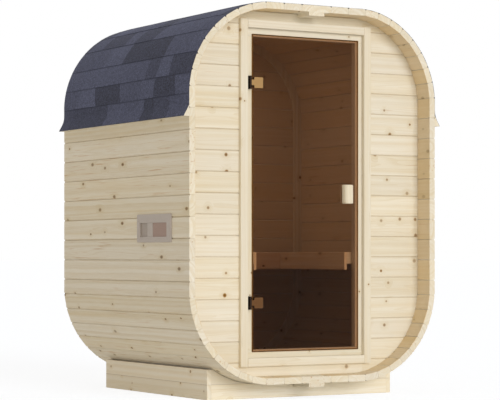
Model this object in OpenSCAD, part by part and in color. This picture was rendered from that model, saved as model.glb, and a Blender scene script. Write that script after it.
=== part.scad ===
// Barrel sauna of rounded square section. Spruce staves run from front to back and close on
// a key stave in the floor and another in the roof. Board end walls stand inside the barrel,
// a tinted glass door hangs in the front wall, and shingles cover the top down to two flared
// eaves. Inside, a bench runs round three sides.
// Millimetres, +Z up, front towards -Y, origin on the ground under the middle.

/* [Barrel] */
// Length of the staves, front to back
barrel_len = 1600; // [1300:10:2600]
// Thickness of the staves
stave_t = 38; // [28:1:48]
// Cover width of the flat boards
board_w = 120; // [100:1:140]
// Cover width of the narrow staves in the rounded corners
corner_stave_w = 94.5; // [80:0.5:110]
// Cover width of the ripped stave at the foot of each side wall
foot_stave_w = 90; // [60:1:120]
// Narrow staves in each rounded corner
corner_staves = 8; // [6:1:10]
// Flat boards in each side wall
side_boards = 9; // [8:1:11]
// Flat boards on each side of a key stave
flat_boards = 2; // [1:1:3]
// Cover width of a key stave
key_w = 196; // [150:1:230]
// Width of a key stave's stem
stem_w = 104; // [60:1:130]
// Height of a key stave's stem
stem_h = 22; // [10:1:40]

/* [End walls] */
// Distance from the barrel's ends to the end walls
wall_setback = 121; // [60:1:250]
// Thickness of the end walls
wall_t = 38; // [28:1:48]
// Height of the ripped board at the foot of an end wall
foot_board_h = 82; // [50:1:120]
// Width of the batten ring on the back wall's inner face
batten_w = 50; // [30:1:80]
// Thickness of the batten ring
batten_t = 20; // [12:1:35]

/* [Door] */
// Width of the door glass
glass_w = 723; // [600:1:800]
// Thickness of the door glass
glass_t = 8; // [6:1:10]
// Gap between the door glass and the frame's face
glass_gap = 5; // [5:1:8]
// Height of front wall left over the doorway
head_wall_h = 99; // [70:1:200]
// Height of front wall left under the doorway
foot_wall_h = 108; // [60:1:250]
// Width of the frame's face that shows round the glass
frame_margin = 34; // [30:1:60]
// How far the glass laps over the frame's face
glass_lap = 14; // [6:1:25]
// Depth of the door frame
frame_depth = 36; // [30:1:60]
// How far the frame's face lies behind the wall's face
frame_inset = 5; // [0:1:10]
// Width of the casing boards round the door
casing_w = 48; // [30:1:80]
// Thickness of the casing boards
casing_t = 21; // [14:1:30]
// Height of the handle blocks
handle_h = 110; // [80:1:200]
// Width of the handle blocks
handle_w = 62; // [30:1:80]
// Depth of the handle blocks
handle_t = 35; // [20:1:45]
// Height of the handle's middle above the door's foot
handle_rise = 905; // [700:1:1100]

/* [Roof] */
// Thickness of the shingle covering
roof_t = 6; // [4:0.5:12]
// Reach of the eave fillets beyond the side walls
eave_w = 35; // [15:1:60]
// Height of the eave fillets
eave_h = 62; // [40:1:120]
// Height of side wall left bare of fillet below the rounded corner
eave_drop = 106; // [40:1:200]

/* [Base] */
// Height of one base board, also of the bearers under the floor
base_board_h = 86; // [60:1:140]
// Thickness of the base boards
base_board_t = 28; // [18:1:45]
// Width of the base over its side boards
base_w = 1250; // [1100:1:1400]
// Distance from the barrel's ends to the base
base_setback = 168; // [100:1:300]
// Width of the floor bearers
bearer_w = 48; // [35:1:80]

/* [Vent] */
// Length of the vent plate
vent_len = 406; // [250:1:500]
// Height of the vent plate
vent_h = 160; // [100:1:240]
// Thickness of the vent plate
vent_t = 10; // [5:1:20]
// Length of the vent's window
window_len = 320; // [150:1:340]
// Height of the vent's window
window_h = 80; // [40:1:90]
// Distance from the barrel's front to the middle of the vent
vent_from_front = 403; // [350:1:700]

/* [Bench] */
// Height of the seat above the floor
seat_h = 710; // [400:1:800]
// Width of the aisle between the side benches
aisle_w = 600; // [450:1:700]
// Depth of the rear bench
rear_bench_d = 554; // [350:1:600]
// Height of the fascia boards
fascia_h = 103; // [70:1:140]
// Thickness of the fascia boards
fascia_t = 18; // [12:1:28]
// Thickness of the seat slats
slat_t = 22; // [16:1:35]
// Width that the seat slats come close to
slat_w = 90; // [60:1:140]
// Gap between the seat slats
slat_gap = 12; // [6:1:25]
// Height of the seat bearers
seat_bearer_h = 46; // [30:1:60]

/* [Hidden] */

// Colours of the finishes
spruce = "#E9DFC5";
spruce_shade = "#CBB78F";
bronze_glass = "#583C26B0";
hinge_brass = "#B89260";
hinge_dark = "#2A2523";
vent_grey = "#A39B96";
vent_brown = "#8C786E";
shingle_grey = "#4A4C5A";

// Fits and small shared sizes
joint_gap = 0.4;
seat_gap = 0.3;
overrun = 10;
base_gap = 3;
outer_chamfer = 6;
inner_chamfer = 3.5;
board_chamfer = 4.5;
arris = 2.5;

// Zigzag of the glued joint between the flat boards and the rounded corners:
// share of the thickness, then share of the tooth's height
tooth_h = 5;
tooth_shares = [[0.32, 0], [0.40, 1], [0.52, -1], [0.64, 1], [0.72, 0]];

// The barrel's section: the bend is the same at every joint of a corner
bend = 90 / (corner_staves + 1);
flat_half = key_w / 2 + flat_boards * board_w;
function chord_sum(k, a) =
    k == 0 ? [0, 0] : chord_sum(k - 1, a) + corner_stave_w * [cos(a + k * bend), sin(a + k * bend)];
corner_run = chord_sum(corner_staves, 0)[0];
half_w = flat_half + corner_run;
half_len = barrel_len / 2;
bottom_z = base_board_h;
side_low_z = bottom_z + corner_run;
side_high_z = side_low_z + foot_stave_w + side_boards * board_w;
top_z = side_high_z + corner_run;
floor_z = bottom_z + stave_t;
ceiling_z = top_z - stave_t;

function corner_points(start, a) = [for (k = [0:corner_staves]) start + chord_sum(k, a)];
outer_outline = concat(
    corner_points([flat_half, bottom_z], 0),
    corner_points([half_w, side_high_z], 90),
    corner_points([-flat_half, top_z], 180),
    corner_points([-half_w, side_low_z], 270)
);

// Offsets of outlines and paths: each corner moves along its own mitre, to the left of the
// way the points run, which is inwards on an outline that runs anticlockwise
function left_of(p, q) = let (d = (q - p) / norm(q - p)) [-d[1], d[0]];
function mitred(p, m, n, t) = p + t * (m + n) / (1 + m * n);
function offset_loop(pts, t) = let (n = len(pts))
    [for (i = [0:n - 1]) mitred(pts[i],
        left_of(pts[(i + n - 1) % n], pts[i]), left_of(pts[i], pts[(i + 1) % n]), t)];
function offset_path(pts, t) = let (n = len(pts))
    [for (i = [0:n - 1]) mitred(pts[i],
        left_of(pts[max(i - 1, 0)], pts[max(i, 1)]),
        left_of(pts[min(i, n - 2)], pts[min(i + 1, n - 1)]), t)];
function reversed(pts) = [for (i = [len(pts) - 1:-1:0]) pts[i]];
inner_outline = offset_loop(outer_outline, stave_t + seat_gap);

// Depths of the end walls and the door, along Y
front_y = -half_len;
wall_front_y = front_y + wall_setback;
wall_inner_y = wall_front_y + wall_t;
back_inner_y = -wall_inner_y;
frame_y = wall_front_y + frame_inset;
glass_y = frame_y - glass_gap - glass_t;
frame_back_y = frame_y + frame_depth;
casing_y = wall_front_y - casing_t;

// The doorway in the front wall, and the glass hung over it
frame_face = frame_margin + glass_lap;
doorway_half = glass_w / 2 + frame_margin;
doorway_low_z = floor_z + foot_wall_h;
doorway_high_z = ceiling_z - head_wall_h;
glass_low_z = doorway_low_z + frame_margin;
glass_high_z = doorway_high_z - frame_margin;
casing_half = doorway_half + casing_w;
rail_half = doorway_half - joint_gap;
casing_low_z = doorway_low_z - casing_w;
casing_high_z = doorway_high_z + casing_w;
jamb_low_z = doorway_low_z + frame_face + joint_gap;
jamb_high_z = doorway_high_z - frame_face - joint_gap;

// Hinges: two, each a knuckle on the door that turns on a pin between two fixed ears
knuckle_r = 8;
pin_r = 4;
pin_play = 0.05;
knuckle_h = 46;
ear_h = 14;
ear_gap = 0.5;
bracket_t = 3;
knuckle_clear = 1;
edge_clear = 3.5;
plate_w = 58;
plate_h = 62;
plate_t = 4;
plate_inset = 12;
neck_h = 32;
hinge_from_foot = 279;
hinge_from_head = 276;
hinge_x = -(glass_w / 2 + edge_clear + knuckle_r);
hinge_y = frame_y - bracket_t - knuckle_clear - knuckle_r;
plate_x = -glass_w / 2 + plate_inset;
hinge_zs = [glass_low_z + hinge_from_foot, glass_high_z - hinge_from_head];

// Handle blocks stand near the free edge of the glass
handle_edge = 50;
handle_x = glass_w / 2 - handle_edge - handle_w / 2;
handle_z = glass_low_z + handle_rise;
handle_r = 9;

// The vent sits over the third flat board of the left wall
vent_row = 2;
window_drop = 9;
window_shift = 10;
vent_y = front_y + vent_from_front;
vent_z = side_low_z + foot_stave_w + vent_row * board_w + board_w / 2;
window_y = vent_y + window_shift;
window_z = vent_z - window_drop;
slide_t = 12;
slide_recess = 3;
slide_shares = [0.26, 0.13, 0.61];

// The roof covering runs from eave to eave, over the fillets
eave_high_z = side_high_z - eave_drop;
eave_low_z = eave_high_z - eave_h;
roof_path = concat(
    [[half_w + eave_w, eave_low_z], [half_w, eave_high_z]],
    corner_points([half_w, side_high_z], 90),
    corner_points([-flat_half, top_z], 180),
    [[-half_w, eave_high_z], [-half_w - eave_w, eave_low_z]]
);

// The base, and the bearers that carry the floor
base_half_w = base_w / 2;
base_half_len = half_len - base_setback;
bearer_x = key_w / 2 + flat_boards * board_w - board_w / 2;

// Benches
seat_z = floor_z + seat_h;
slat_low_z = seat_z - slat_t;
seat_bearer_low_z = slat_low_z - seat_bearer_h;
aisle_half = aisle_w / 2;
fascia_out = aisle_half + fascia_t;
inside_half = half_w - stave_t - seat_gap;
bench_front_gap = 9;
bench_front_y = wall_inner_y + bench_front_gap;
end_rail_t = 22;
rear_fascia_y = back_inner_y - rear_bench_d;
rear_seat_back_y = back_inner_y - batten_t - seat_gap;
seat_bearer_w = 34;
side_bearers = 3;
rear_bearers = 3;

// A flat shape in X and Z, carried along Y
module along_depth(y0, y1)
    translate([0, y1, 0]) rotate([90, 0, 0]) linear_extrude(y1 - y0) children();

// A flat shape in Y and Z, carried along X
module along_width(x0, x1)
    translate([x0, 0, 0]) rotate([90, 0, 90]) linear_extrude(x1 - x0) children();

// A box between two corners
module block(low, high) translate(low) cube(high - low);

// A rectangle with its corners rounded, about its own middle
module rounded_rect(w, h, r) {
    square([w - 2 * r, h], center = true);
    square([w, h - 2 * r], center = true);
    for (x = [-1, 1], y = [-1, 1])
        translate([x * (w / 2 - r), y * (h / 2 - r)]) circle(r, $fn = 48);
}

// Where a joint's face lies, at depth n from the outer face. Teeth stand square to the mitre.
function joint_at(n, b) = joint_gap / 2 + n * tan(b / 2);
function tooth_at(n, b, reach) = [joint_at(n, b) + reach * cos(b / 2), n - reach * sin(b / 2)];
function joint_face(b, toothed, side) = concat(
    [[joint_at(outer_chamfer, b), outer_chamfer]],
    toothed ? [for (q = tooth_shares) tooth_at(q[0] * stave_t, b, side * q[1] * tooth_h)] : [],
    [[joint_at(stave_t - inner_chamfer, b), stave_t - inner_chamfer]]
);

// Section of one stave: along its width, then inwards from its outer face
function stave_section(w, b0, b1, toothed0, toothed1) = concat(
    [[joint_at(0, b0) + outer_chamfer, 0], [w - joint_at(0, b1) - outer_chamfer, 0]],
    [for (q = joint_face(b1, toothed1, -1)) [w - q[0], q[1]]],
    [[w - joint_at(stave_t, b1) - inner_chamfer, stave_t],
     [joint_at(stave_t, b0) + inner_chamfer, stave_t]],
    reversed(joint_face(b0, toothed0, 1))
);

// One stave, whose outer face starts at p and runs at angle a round the barrel
module stave(p, a, w, b0 = 0, b1 = 0, toothed0 = false, toothed1 = false)
    along_depth(-half_len, half_len) translate(p) rotate(a)
        polygon(stave_section(w, b0, b1, toothed0, toothed1));

// The staves of one rounded corner on the right
module corner_set(start, a, from_flat)
    for (k = [1:corner_staves])
        stave(start + chord_sum(k - 1, a), a + k * bend, corner_stave_w, bend, bend,
            from_flat && k == 1, !from_flat && k == corner_staves);

// The flat boards beside the key stave, on both sides: in the floor, then in the roof
module floor_set()
    for (side = [0, 1], i = [0:flat_boards - 1]) {
        last = i == flat_boards - 1;
        mirror([side, 0, 0]) stave([key_w / 2 + i * board_w, bottom_z], 0, board_w,
            0, last ? bend : 0, false, last);
    }
module roof_set()
    for (side = [0, 1], i = [0:flat_boards - 1]) {
        last = i == flat_boards - 1;
        mirror([side, 0, 0]) stave([key_w / 2 + (i + 1) * board_w, top_z], 180, board_w,
            last ? bend : 0, 0, last, false);
    }

// The staves of the right wall: a narrow one, then the flat boards
module side_set() {
    stave([half_w, side_low_z], 90, foot_stave_w, bend, 0);
    for (i = [0:side_boards - 1])
        stave([half_w, side_low_z + foot_stave_w + i * board_w], 90, board_w,
            0, i == side_boards - 1 ? bend : 0);
}

// A key stave, T-shaped in section, with its stem downwards and its outer face at outer_z
module key_stave(outer_z, turn, stem_top_z)
    along_depth(-half_len, half_len) {
        translate([-cos(turn) * key_w / 2, outer_z]) rotate(turn)
            polygon(stave_section(key_w, 0, 0, false, false));
        translate([-stem_w / 2, stem_top_z - stem_h]) square([stem_w, stem_h + stave_t / 2]);
    }

// Room for a key stave's stem where it passes another piece
module stem_room(stem_top_z, gap)
    block([-stem_w / 2 - gap, -half_len, stem_top_z - stem_h - gap],
        [stem_w / 2 + gap, half_len, stem_top_z + stave_t / 2]);

// The inside of the barrel, as room for what stands in it
module barrel_inside() difference() {
    along_depth(-half_len, half_len) polygon(inner_outline);
    stem_room(ceiling_z, seat_gap);
}

// The barrel's outside, as room for what stands round its foot
module barrel_room() {
    along_depth(-half_len, half_len) polygon(offset_loop(outer_outline, -base_gap));
    stem_room(bottom_z, base_gap);
}

// Section of a board with its four edges chamfered, in Y and Z
function board_section(y0, y1, z0, z1, c) = [
    [y0 + c, z0], [y1 - c, z0], [y1, z0 + c], [y1, z1 - c],
    [y1 - c, z1], [y0 + c, z1], [y0, z1 - c], [y0, z0 + c]
];

// Boards of an end wall between two heights, cut to the inside of the barrel
module wall_boards(x0, x1, z0, z1, y0) {
    first_z = floor_z + foot_board_h - board_w;
    rows = ceil((ceiling_z - first_z) / board_w);
    intersection() {
        for (i = [0:rows - 1]) {
            low = max(z0, first_z + i * board_w);
            high = min(z1, first_z + (i + 1) * board_w);
            if (high - low > 2 * board_chamfer + joint_gap)
                along_width(x0, x1) polygon(board_section(y0, y0 + wall_t,
                    low + joint_gap / 2, high - joint_gap / 2, board_chamfer));
        }
        barrel_inside();
    }
}

module base_pair(x0, x1, y0, y1) difference() {
    for (i = [0, 1])
        block([x0, y0, i * (base_board_h + joint_gap)], [x1, y1, (i + 1) * base_board_h]);
    barrel_room();
}

module base_end(y0) {
    inner = base_half_w - base_board_t - joint_gap;
    base_pair(-inner, inner, y0, y0 + base_board_t);
}

module base_side(x0)
    base_pair(x0, x0 + base_board_t, -base_half_len, base_half_len);

module base_front() color(spruce) base_end(-base_half_len);
module base_back() color(spruce) base_end(base_half_len - base_board_t);
module base_left() color(spruce) base_side(-base_half_w);
module base_right() color(spruce) base_side(base_half_w - base_board_t);

module base_bearers() color(spruce_shade) {
    reach = base_half_len - base_board_t;
    for (side = [-1, 1])
        block([side * bearer_x - bearer_w / 2, -reach, 0],
            [side * bearer_x + bearer_w / 2, reach, bottom_z]);
}

module floor_staves() color(spruce) floor_set();
module roof_staves() color(spruce) roof_set();
module floor_key_stave() color(spruce) key_stave(bottom_z, 0, bottom_z);
module roof_key_stave() color(spruce) key_stave(top_z, 180, ceiling_z);

module right_wall_staves() color(spruce) side_set();
module left_wall_staves() color(spruce) difference() {
    mirror([1, 0, 0]) side_set();
    block([-half_w - overrun, window_y - window_len / 2, window_z - window_h / 2],
        [-inside_half + overrun, window_y + window_len / 2, window_z + window_h / 2]);
}

module lower_right_corner() color(spruce) corner_set([flat_half, bottom_z], 0, true);
module upper_right_corner() color(spruce) corner_set([half_w, side_high_z], 90, false);
module lower_left_corner() color(spruce) mirror([1, 0, 0]) corner_set([flat_half, bottom_z], 0, true);
module upper_left_corner() color(spruce) mirror([1, 0, 0]) corner_set([half_w, side_high_z], 90, false);

module front_wall_left() color(spruce)
    wall_boards(-half_w, -doorway_half, floor_z, ceiling_z, wall_front_y);
module front_wall_right() color(spruce)
    wall_boards(doorway_half, half_w, floor_z, ceiling_z, wall_front_y);
module front_wall_top() color(spruce)
    wall_boards(-rail_half, rail_half, doorway_high_z, ceiling_z, wall_front_y);
module front_wall_bottom() color(spruce)
    wall_boards(-rail_half, rail_half, floor_z, doorway_low_z, wall_front_y);
module back_wall() color(spruce)
    wall_boards(-half_w, half_w, floor_z, ceiling_z, back_inner_y);

module back_wall_battens() color(spruce_shade) difference() {
    along_depth(back_inner_y - batten_t, back_inner_y) difference() {
        polygon(inner_outline);
        polygon(offset_loop(inner_outline, batten_w));
    }
    stem_room(ceiling_z, seat_gap);
}

// A casing board beside the door, with its front arrises eased
module casing_stile(x0) intersection() {
    translate([0, 0, casing_low_z]) linear_extrude(casing_high_z - casing_low_z)
        polygon([[x0, wall_front_y], [x0, casing_y + arris], [x0 + arris, casing_y],
            [x0 + casing_w - arris, casing_y], [x0 + casing_w, casing_y + arris],
            [x0 + casing_w, wall_front_y]]);
    barrel_inside();
}

// A casing board across the door, between the stiles
module casing_rail(z0, z1)
    along_width(-rail_half, rail_half)
        polygon([[wall_front_y, z0], [casing_y + arris, z0], [casing_y, z0 + arris],
            [casing_y, z1 - arris], [casing_y + arris, z1], [wall_front_y, z1]]);

module casing_left() color(spruce) casing_stile(-casing_half);
module casing_right() color(spruce) casing_stile(doorway_half);
module casing_head() color(spruce) intersection() {
    casing_rail(doorway_high_z, casing_high_z);
    barrel_inside();
}
module casing_sill() color(spruce) casing_rail(casing_low_z, doorway_low_z);

// Section of a frame member, with the arris towards the opening eased.
// The first number runs inwards from the doorway's edge, the second back from the front.
frame_section = [
    [0, frame_y], [frame_face - arris, frame_y], [frame_face, frame_y + arris],
    [frame_face, frame_back_y], [0, frame_back_y]
];

module jamb()
    translate([-doorway_half + seat_gap, 0, jamb_low_z]) linear_extrude(jamb_high_z - jamb_low_z)
        polygon(frame_section);
module frame_rail(z, way) {
    reach = doorway_half - seat_gap;
    along_width(-reach, reach)
        polygon([for (q = frame_section) [q[1], z + way * q[0]]]);
}

module frame_left_jamb() color(spruce) jamb();
module frame_right_jamb() color(spruce) mirror([1, 0, 0]) jamb();
module frame_head() color(spruce) frame_rail(doorway_high_z - seat_gap, -1);
module frame_sill() color(spruce) frame_rail(doorway_low_z + seat_gap, 1);

module hinge_bracket() {
    ear_z = knuckle_h / 2 + ear_gap;
    full_h = 2 * (ear_z + ear_h);
    translate([hinge_x, hinge_y, 0]) {
        cylinder(h = full_h, r = pin_r, center = true, $fn = 48);
        for (z = [-ear_z - ear_h, ear_z])
            translate([0, 0, z]) {
                cylinder(h = ear_h, r = knuckle_r, $fn = 48);
                block([-knuckle_r, 0, 0], [0, frame_y - hinge_y, ear_h]);
            }
        block([joint_gap - doorway_half - hinge_x, frame_y - hinge_y - bracket_t, -full_h / 2],
            [-pin_r, frame_y - hinge_y, full_h / 2]);
    }
}

module hinge_knuckle() {
    translate([hinge_x, hinge_y, 0]) difference() {
        union() {
            cylinder(h = knuckle_h, r = knuckle_r, center = true, $fn = 48);
            block([0, glass_y - plate_t - hinge_y, -neck_h / 2],
                [plate_x - hinge_x, glass_y - hinge_y, neck_h / 2]);
        }
        cylinder(h = knuckle_h + overrun, r = pin_r + pin_play, center = true, $fn = 48);
    }
}

module hinge_plate_pair()
    for (y = [glass_y - plate_t, glass_y + glass_t])
        translate([plate_x + plate_w / 2, y + plate_t, 0]) rotate([90, 0, 0])
            linear_extrude(plate_t) rounded_rect(plate_w, plate_h, arris);

module at_hinges() for (z = hinge_zs) translate([0, 0, z]) children();

module hinge_brackets() color(hinge_dark) at_hinges() hinge_bracket();
module hinge_knuckles() color(hinge_dark) at_hinges() hinge_knuckle();
module hinge_plates() color(hinge_brass) at_hinges() hinge_plate_pair();

module door_glass() color(bronze_glass)
    block([-glass_w / 2, glass_y, glass_low_z], [glass_w / 2, glass_y + glass_t, glass_high_z]);

module handle(y0)
    translate([handle_x, y0 + handle_t, handle_z]) rotate([90, 0, 0])
        linear_extrude(handle_t) rounded_rect(handle_w, handle_h, handle_r);

module outer_handle() color(spruce) handle(glass_y - handle_t);
module inner_handle() color(spruce) handle(glass_y + glass_t);

module vent_plate() color(vent_grey) difference() {
    block([-half_w - vent_t, vent_y - vent_len / 2, vent_z - vent_h / 2],
        [-half_w, vent_y + vent_len / 2, vent_z + vent_h / 2]);
    block([-half_w - vent_t - overrun, window_y - window_len / 2, window_z - window_h / 2],
        [-half_w + overrun, window_y + window_len / 2, window_z + window_h / 2]);
}

// The slide in the vent's window: a narrow leaf, its grip and the wide leaf
module vent_slide() color(vent_brown) {
    starts = [1, 1 - slide_shares[0], slide_shares[2]];
    recesses = [2 * slide_recess, 0, slide_recess];
    z0 = window_z - window_h / 2 + seat_gap;
    z1 = window_z + window_h / 2 - seat_gap;
    front = window_y - window_len / 2;
    for (i = [0:len(starts) - 1]) {
        y1 = front + window_len * starts[i] - seat_gap;
        y0 = y1 - window_len * slide_shares[i] + 2 * seat_gap;
        x0 = -half_w - vent_t / 2 + recesses[i];
        block([x0, y0, z0], [x0 + slide_t, y1, z1]);
    }
}

// Slats that fill a seat from one edge to the other, at even gaps
function slat_count(reach) = max(1, round((reach + slat_gap) / (slat_w + slat_gap)));
function slat_size(reach) = let (n = slat_count(reach)) (reach - (n - 1) * slat_gap) / n;

module side_seat() {
    x0 = fascia_out + seat_gap;
    reach = inside_half - x0;
    w = slat_size(reach);
    for (i = [0:slat_count(reach) - 1])
        block([x0 + i * (w + slat_gap), bench_front_y + end_rail_t + joint_gap, slat_low_z],
            [x0 + i * (w + slat_gap) + w, rear_fascia_y - joint_gap, seat_z]);
}

module right_bench_seat() color(spruce) side_seat();
module left_bench_seat() color(spruce) mirror([1, 0, 0]) side_seat();
module rear_bench_seat() color(spruce) {
    y0 = rear_fascia_y + fascia_t + seat_gap;
    reach = rear_seat_back_y - y0;
    w = slat_size(reach);
    for (i = [0:slat_count(reach) - 1])
        block([-inside_half, y0 + i * (w + slat_gap), slat_low_z],
            [inside_half, y0 + i * (w + slat_gap) + w, seat_z]);
}

module bench_fascias() color(spruce) {
    for (side = [0, 1])
        mirror([side, 0, 0])
            block([aisle_half, bench_front_y, seat_z - fascia_h],
                [fascia_out, rear_fascia_y - joint_gap, seat_z]);
    block([-fascia_out, rear_fascia_y, seat_z - fascia_h],
        [fascia_out, rear_fascia_y + fascia_t, seat_z]);
}

module bench_end_rails() color(spruce)
    for (side = [0, 1])
        mirror([side, 0, 0])
            block([fascia_out + seat_gap, bench_front_y, seat_bearer_low_z],
                [inside_half, bench_front_y + end_rail_t, seat_z]);

module bench_bearers() color(spruce_shade) {
    y0 = bench_front_y + end_rail_t + joint_gap;
    y_step = (rear_fascia_y - joint_gap - seat_bearer_w - y0) / (side_bearers - 1);
    for (side = [0, 1], i = [0:side_bearers - 1])
        mirror([side, 0, 0])
            block([fascia_out + seat_gap, y0 + i * y_step, seat_bearer_low_z],
                [inside_half, y0 + i * y_step + seat_bearer_w, slat_low_z]);
    x_reach = inside_half - batten_w - seat_bearer_w;
    x_step = 2 * x_reach / (rear_bearers - 1);
    for (i = [0:rear_bearers - 1]) {
        x0 = -x_reach + i * x_step - seat_bearer_w / 2;
        block([x0, rear_fascia_y + fascia_t + seat_gap, seat_bearer_low_z],
            [x0 + seat_bearer_w, back_inner_y, slat_low_z]);
    }
}

module eave_fillets() color(spruce)
    for (side = [0, 1])
        mirror([side, 0, 0])
            along_depth(-half_len, half_len)
                polygon([[half_w, eave_low_z], [half_w + eave_w, eave_low_z], [half_w, eave_high_z]]);

module roof_cover() color(shingle_grey)
    along_depth(-half_len, half_len)
        polygon(concat(offset_path(roof_path, -seat_gap), reversed(offset_path(roof_path, -roof_t))));

base_front();
base_back();
base_left();
base_right();
base_bearers();
floor_staves();
floor_key_stave();
roof_staves();
roof_key_stave();
left_wall_staves();
right_wall_staves();
lower_left_corner();
lower_right_corner();
upper_left_corner();
upper_right_corner();
front_wall_left();
front_wall_right();
front_wall_top();
front_wall_bottom();
back_wall();
back_wall_battens();
casing_left();
casing_right();
casing_head();
casing_sill();
frame_left_jamb();
frame_right_jamb();
frame_head();
frame_sill();
hinge_brackets();
hinge_knuckles();
hinge_plates();
door_glass();
outer_handle();
inner_handle();
vent_plate();
vent_slide();
left_bench_seat();
right_bench_seat();
rear_bench_seat();
bench_fascias();
bench_end_rails();
bench_bearers();
eave_fillets();
roof_cover();
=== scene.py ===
"""Dress a barrel sauna: planed spruce, laminated shingles, a bronze glass door and its fittings.

Metres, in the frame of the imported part: +Z up, the front towards -Y, the ground at zero.
"""

import logging
import math
from collections.abc import Callable, Mapping, Sequence
from dataclasses import dataclass, field, replace
from enum import Enum
from functools import partial
from typing import Any

import bpy
import numpy as np
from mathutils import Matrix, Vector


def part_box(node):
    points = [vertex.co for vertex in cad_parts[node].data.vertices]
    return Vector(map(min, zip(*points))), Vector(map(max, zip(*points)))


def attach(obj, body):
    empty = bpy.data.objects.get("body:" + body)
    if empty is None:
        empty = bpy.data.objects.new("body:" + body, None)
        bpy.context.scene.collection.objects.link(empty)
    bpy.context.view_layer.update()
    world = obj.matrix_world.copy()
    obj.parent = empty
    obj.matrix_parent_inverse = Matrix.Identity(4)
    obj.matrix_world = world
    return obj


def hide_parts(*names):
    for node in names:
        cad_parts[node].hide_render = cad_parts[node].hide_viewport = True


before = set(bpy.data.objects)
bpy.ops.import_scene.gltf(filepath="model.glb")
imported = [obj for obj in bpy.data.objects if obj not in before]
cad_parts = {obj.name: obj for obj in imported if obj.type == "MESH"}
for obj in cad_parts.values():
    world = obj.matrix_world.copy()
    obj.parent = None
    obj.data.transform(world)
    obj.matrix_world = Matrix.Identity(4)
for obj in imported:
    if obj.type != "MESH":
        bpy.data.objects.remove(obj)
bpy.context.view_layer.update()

LOG = logging.getLogger("barrel_sauna")
MM = 0.001
CABIN, DOOR = "cabin", "door"
SHARP_EDGE = math.radians(32)
# Wider than any piece, so that the whole piece counts as one board
ONE_BOARD = 10.0

Socket = bpy.types.NodeSocket
Adder = Callable[..., Socket]


class Axis(Enum):
    """An axis of the part's frame."""

    X = 0
    Y = 1
    Z = 2

    @property
    def crosswise(self) -> "Axis":
        """The level axis across a level axis."""
        return Axis.Y if self is Axis.X else Axis.X


class Side(Enum):
    """The low or the high end of a box."""

    LOW = 0
    HIGH = 1


def edge(node: str, axis: Axis, side: Side) -> float:
    """Read where a solid ends.

    Args:
        node: Name of the solid.
        axis: Axis to measure along.
        side: Which end of it.

    Returns:
        The coordinate, in metres.
    """
    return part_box(node)[side.value][axis.value]


# Shapes as arrays


@dataclass
class Surface:
    """A closed mesh as arrays: points, four-cornered faces, caps and values at the points."""

    points: np.ndarray
    quads: np.ndarray
    caps: list[np.ndarray] = field(default_factory=list)
    marks: dict[str, np.ndarray] = field(default_factory=dict)

    def volume(self) -> float:
        """Sum the signed volumes of the tetrahedra that each face makes with the origin."""
        fans = [self.quads[:, [0, 1, 2]], self.quads[:, [0, 2, 3]]]
        for cap in self.caps:
            first = np.full(len(cap) - 2, cap[0])
            fans.append(np.stack([first, cap[1:-1], cap[2:]], -1))
        a, b, c = np.moveaxis(self.points[np.concatenate(fans)], 1, 0)
        return float(np.einsum("ij,ij->", a, np.cross(b, c)))

    def outward(self) -> "Surface":
        """Turn the faces round if they look inwards."""
        if self.volume() < 0:
            self.quads = self.quads[:, ::-1]
            self.caps = [cap[::-1] for cap in self.caps]
        return self


def join(parts: Sequence[Surface]) -> Surface:
    """Put several meshes into one.

    Args:
        parts: The meshes, all with the same marks.

    Returns:
        One mesh with every part's points and faces.
    """
    starts = np.cumsum([0, *(len(part.points) for part in parts)])
    return Surface(
        np.concatenate([part.points for part in parts]),
        np.concatenate([part.quads + start for part, start in zip(parts, starts)]),
        [cap + start for part, start in zip(parts, starts) for cap in part.caps],
        {key: np.concatenate([part.marks[key] for part in parts]) for key in parts[0].marks},
    )


def loft(rings: np.ndarray, looped: bool = False) -> Surface:
    """Skin a row of closed rings.

    Args:
        rings: Points by ring, by place round the ring, by coordinate.
        looped: Whether the last ring joins the first one, instead of both being capped.

    Returns:
        The closed mesh: point (i, j) joins (i, j + 1) and (i + 1, j).
    """
    rows, count = rings.shape[:2]
    index = np.arange(rows * count).reshape(rows, count)
    near = index if looped else index[:-1]
    far = np.roll(index, -1, 0) if looped else index[1:]
    quads = np.stack([near, np.roll(near, -1, 1), np.roll(far, -1, 1), far], -1).reshape(-1, 4)
    caps = [] if looped else [index[0, ::-1], index[-1]]
    return Surface(rings.reshape(-1, 3), quads, caps).outward()


def along_axis(u: np.ndarray, v: np.ndarray, run: np.ndarray, axis: Axis) -> np.ndarray:
    """Turn a section's two coordinates and the way along it into points.

    Args:
        u: First coordinate across the axis.
        v: Second coordinate across the axis, a right-handed turn on from the first.
        run: Coordinate along the axis.
        axis: The axis that the section is carried along.

    Returns:
        The points, by coordinate in the last place.
    """
    return np.roll(np.stack(np.broadcast_arrays(u, v, run), -1), axis.value + 1, -1)


def quarter_turns(steps: int) -> tuple[np.ndarray, np.ndarray, np.ndarray]:
    """Go round four rounded corners.

    Args:
        steps: Chords in each corner.

    Returns:
        The angle at each point, and the signs of the corner that it belongs to.
    """
    turn = np.linspace(0, math.pi / 2, steps + 1)
    angle = (turn + np.arange(4)[:, None] * math.pi / 2).ravel()
    return angle, np.repeat([1, -1, -1, 1], steps + 1), np.repeat([1, 1, -1, -1], steps + 1)


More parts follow.
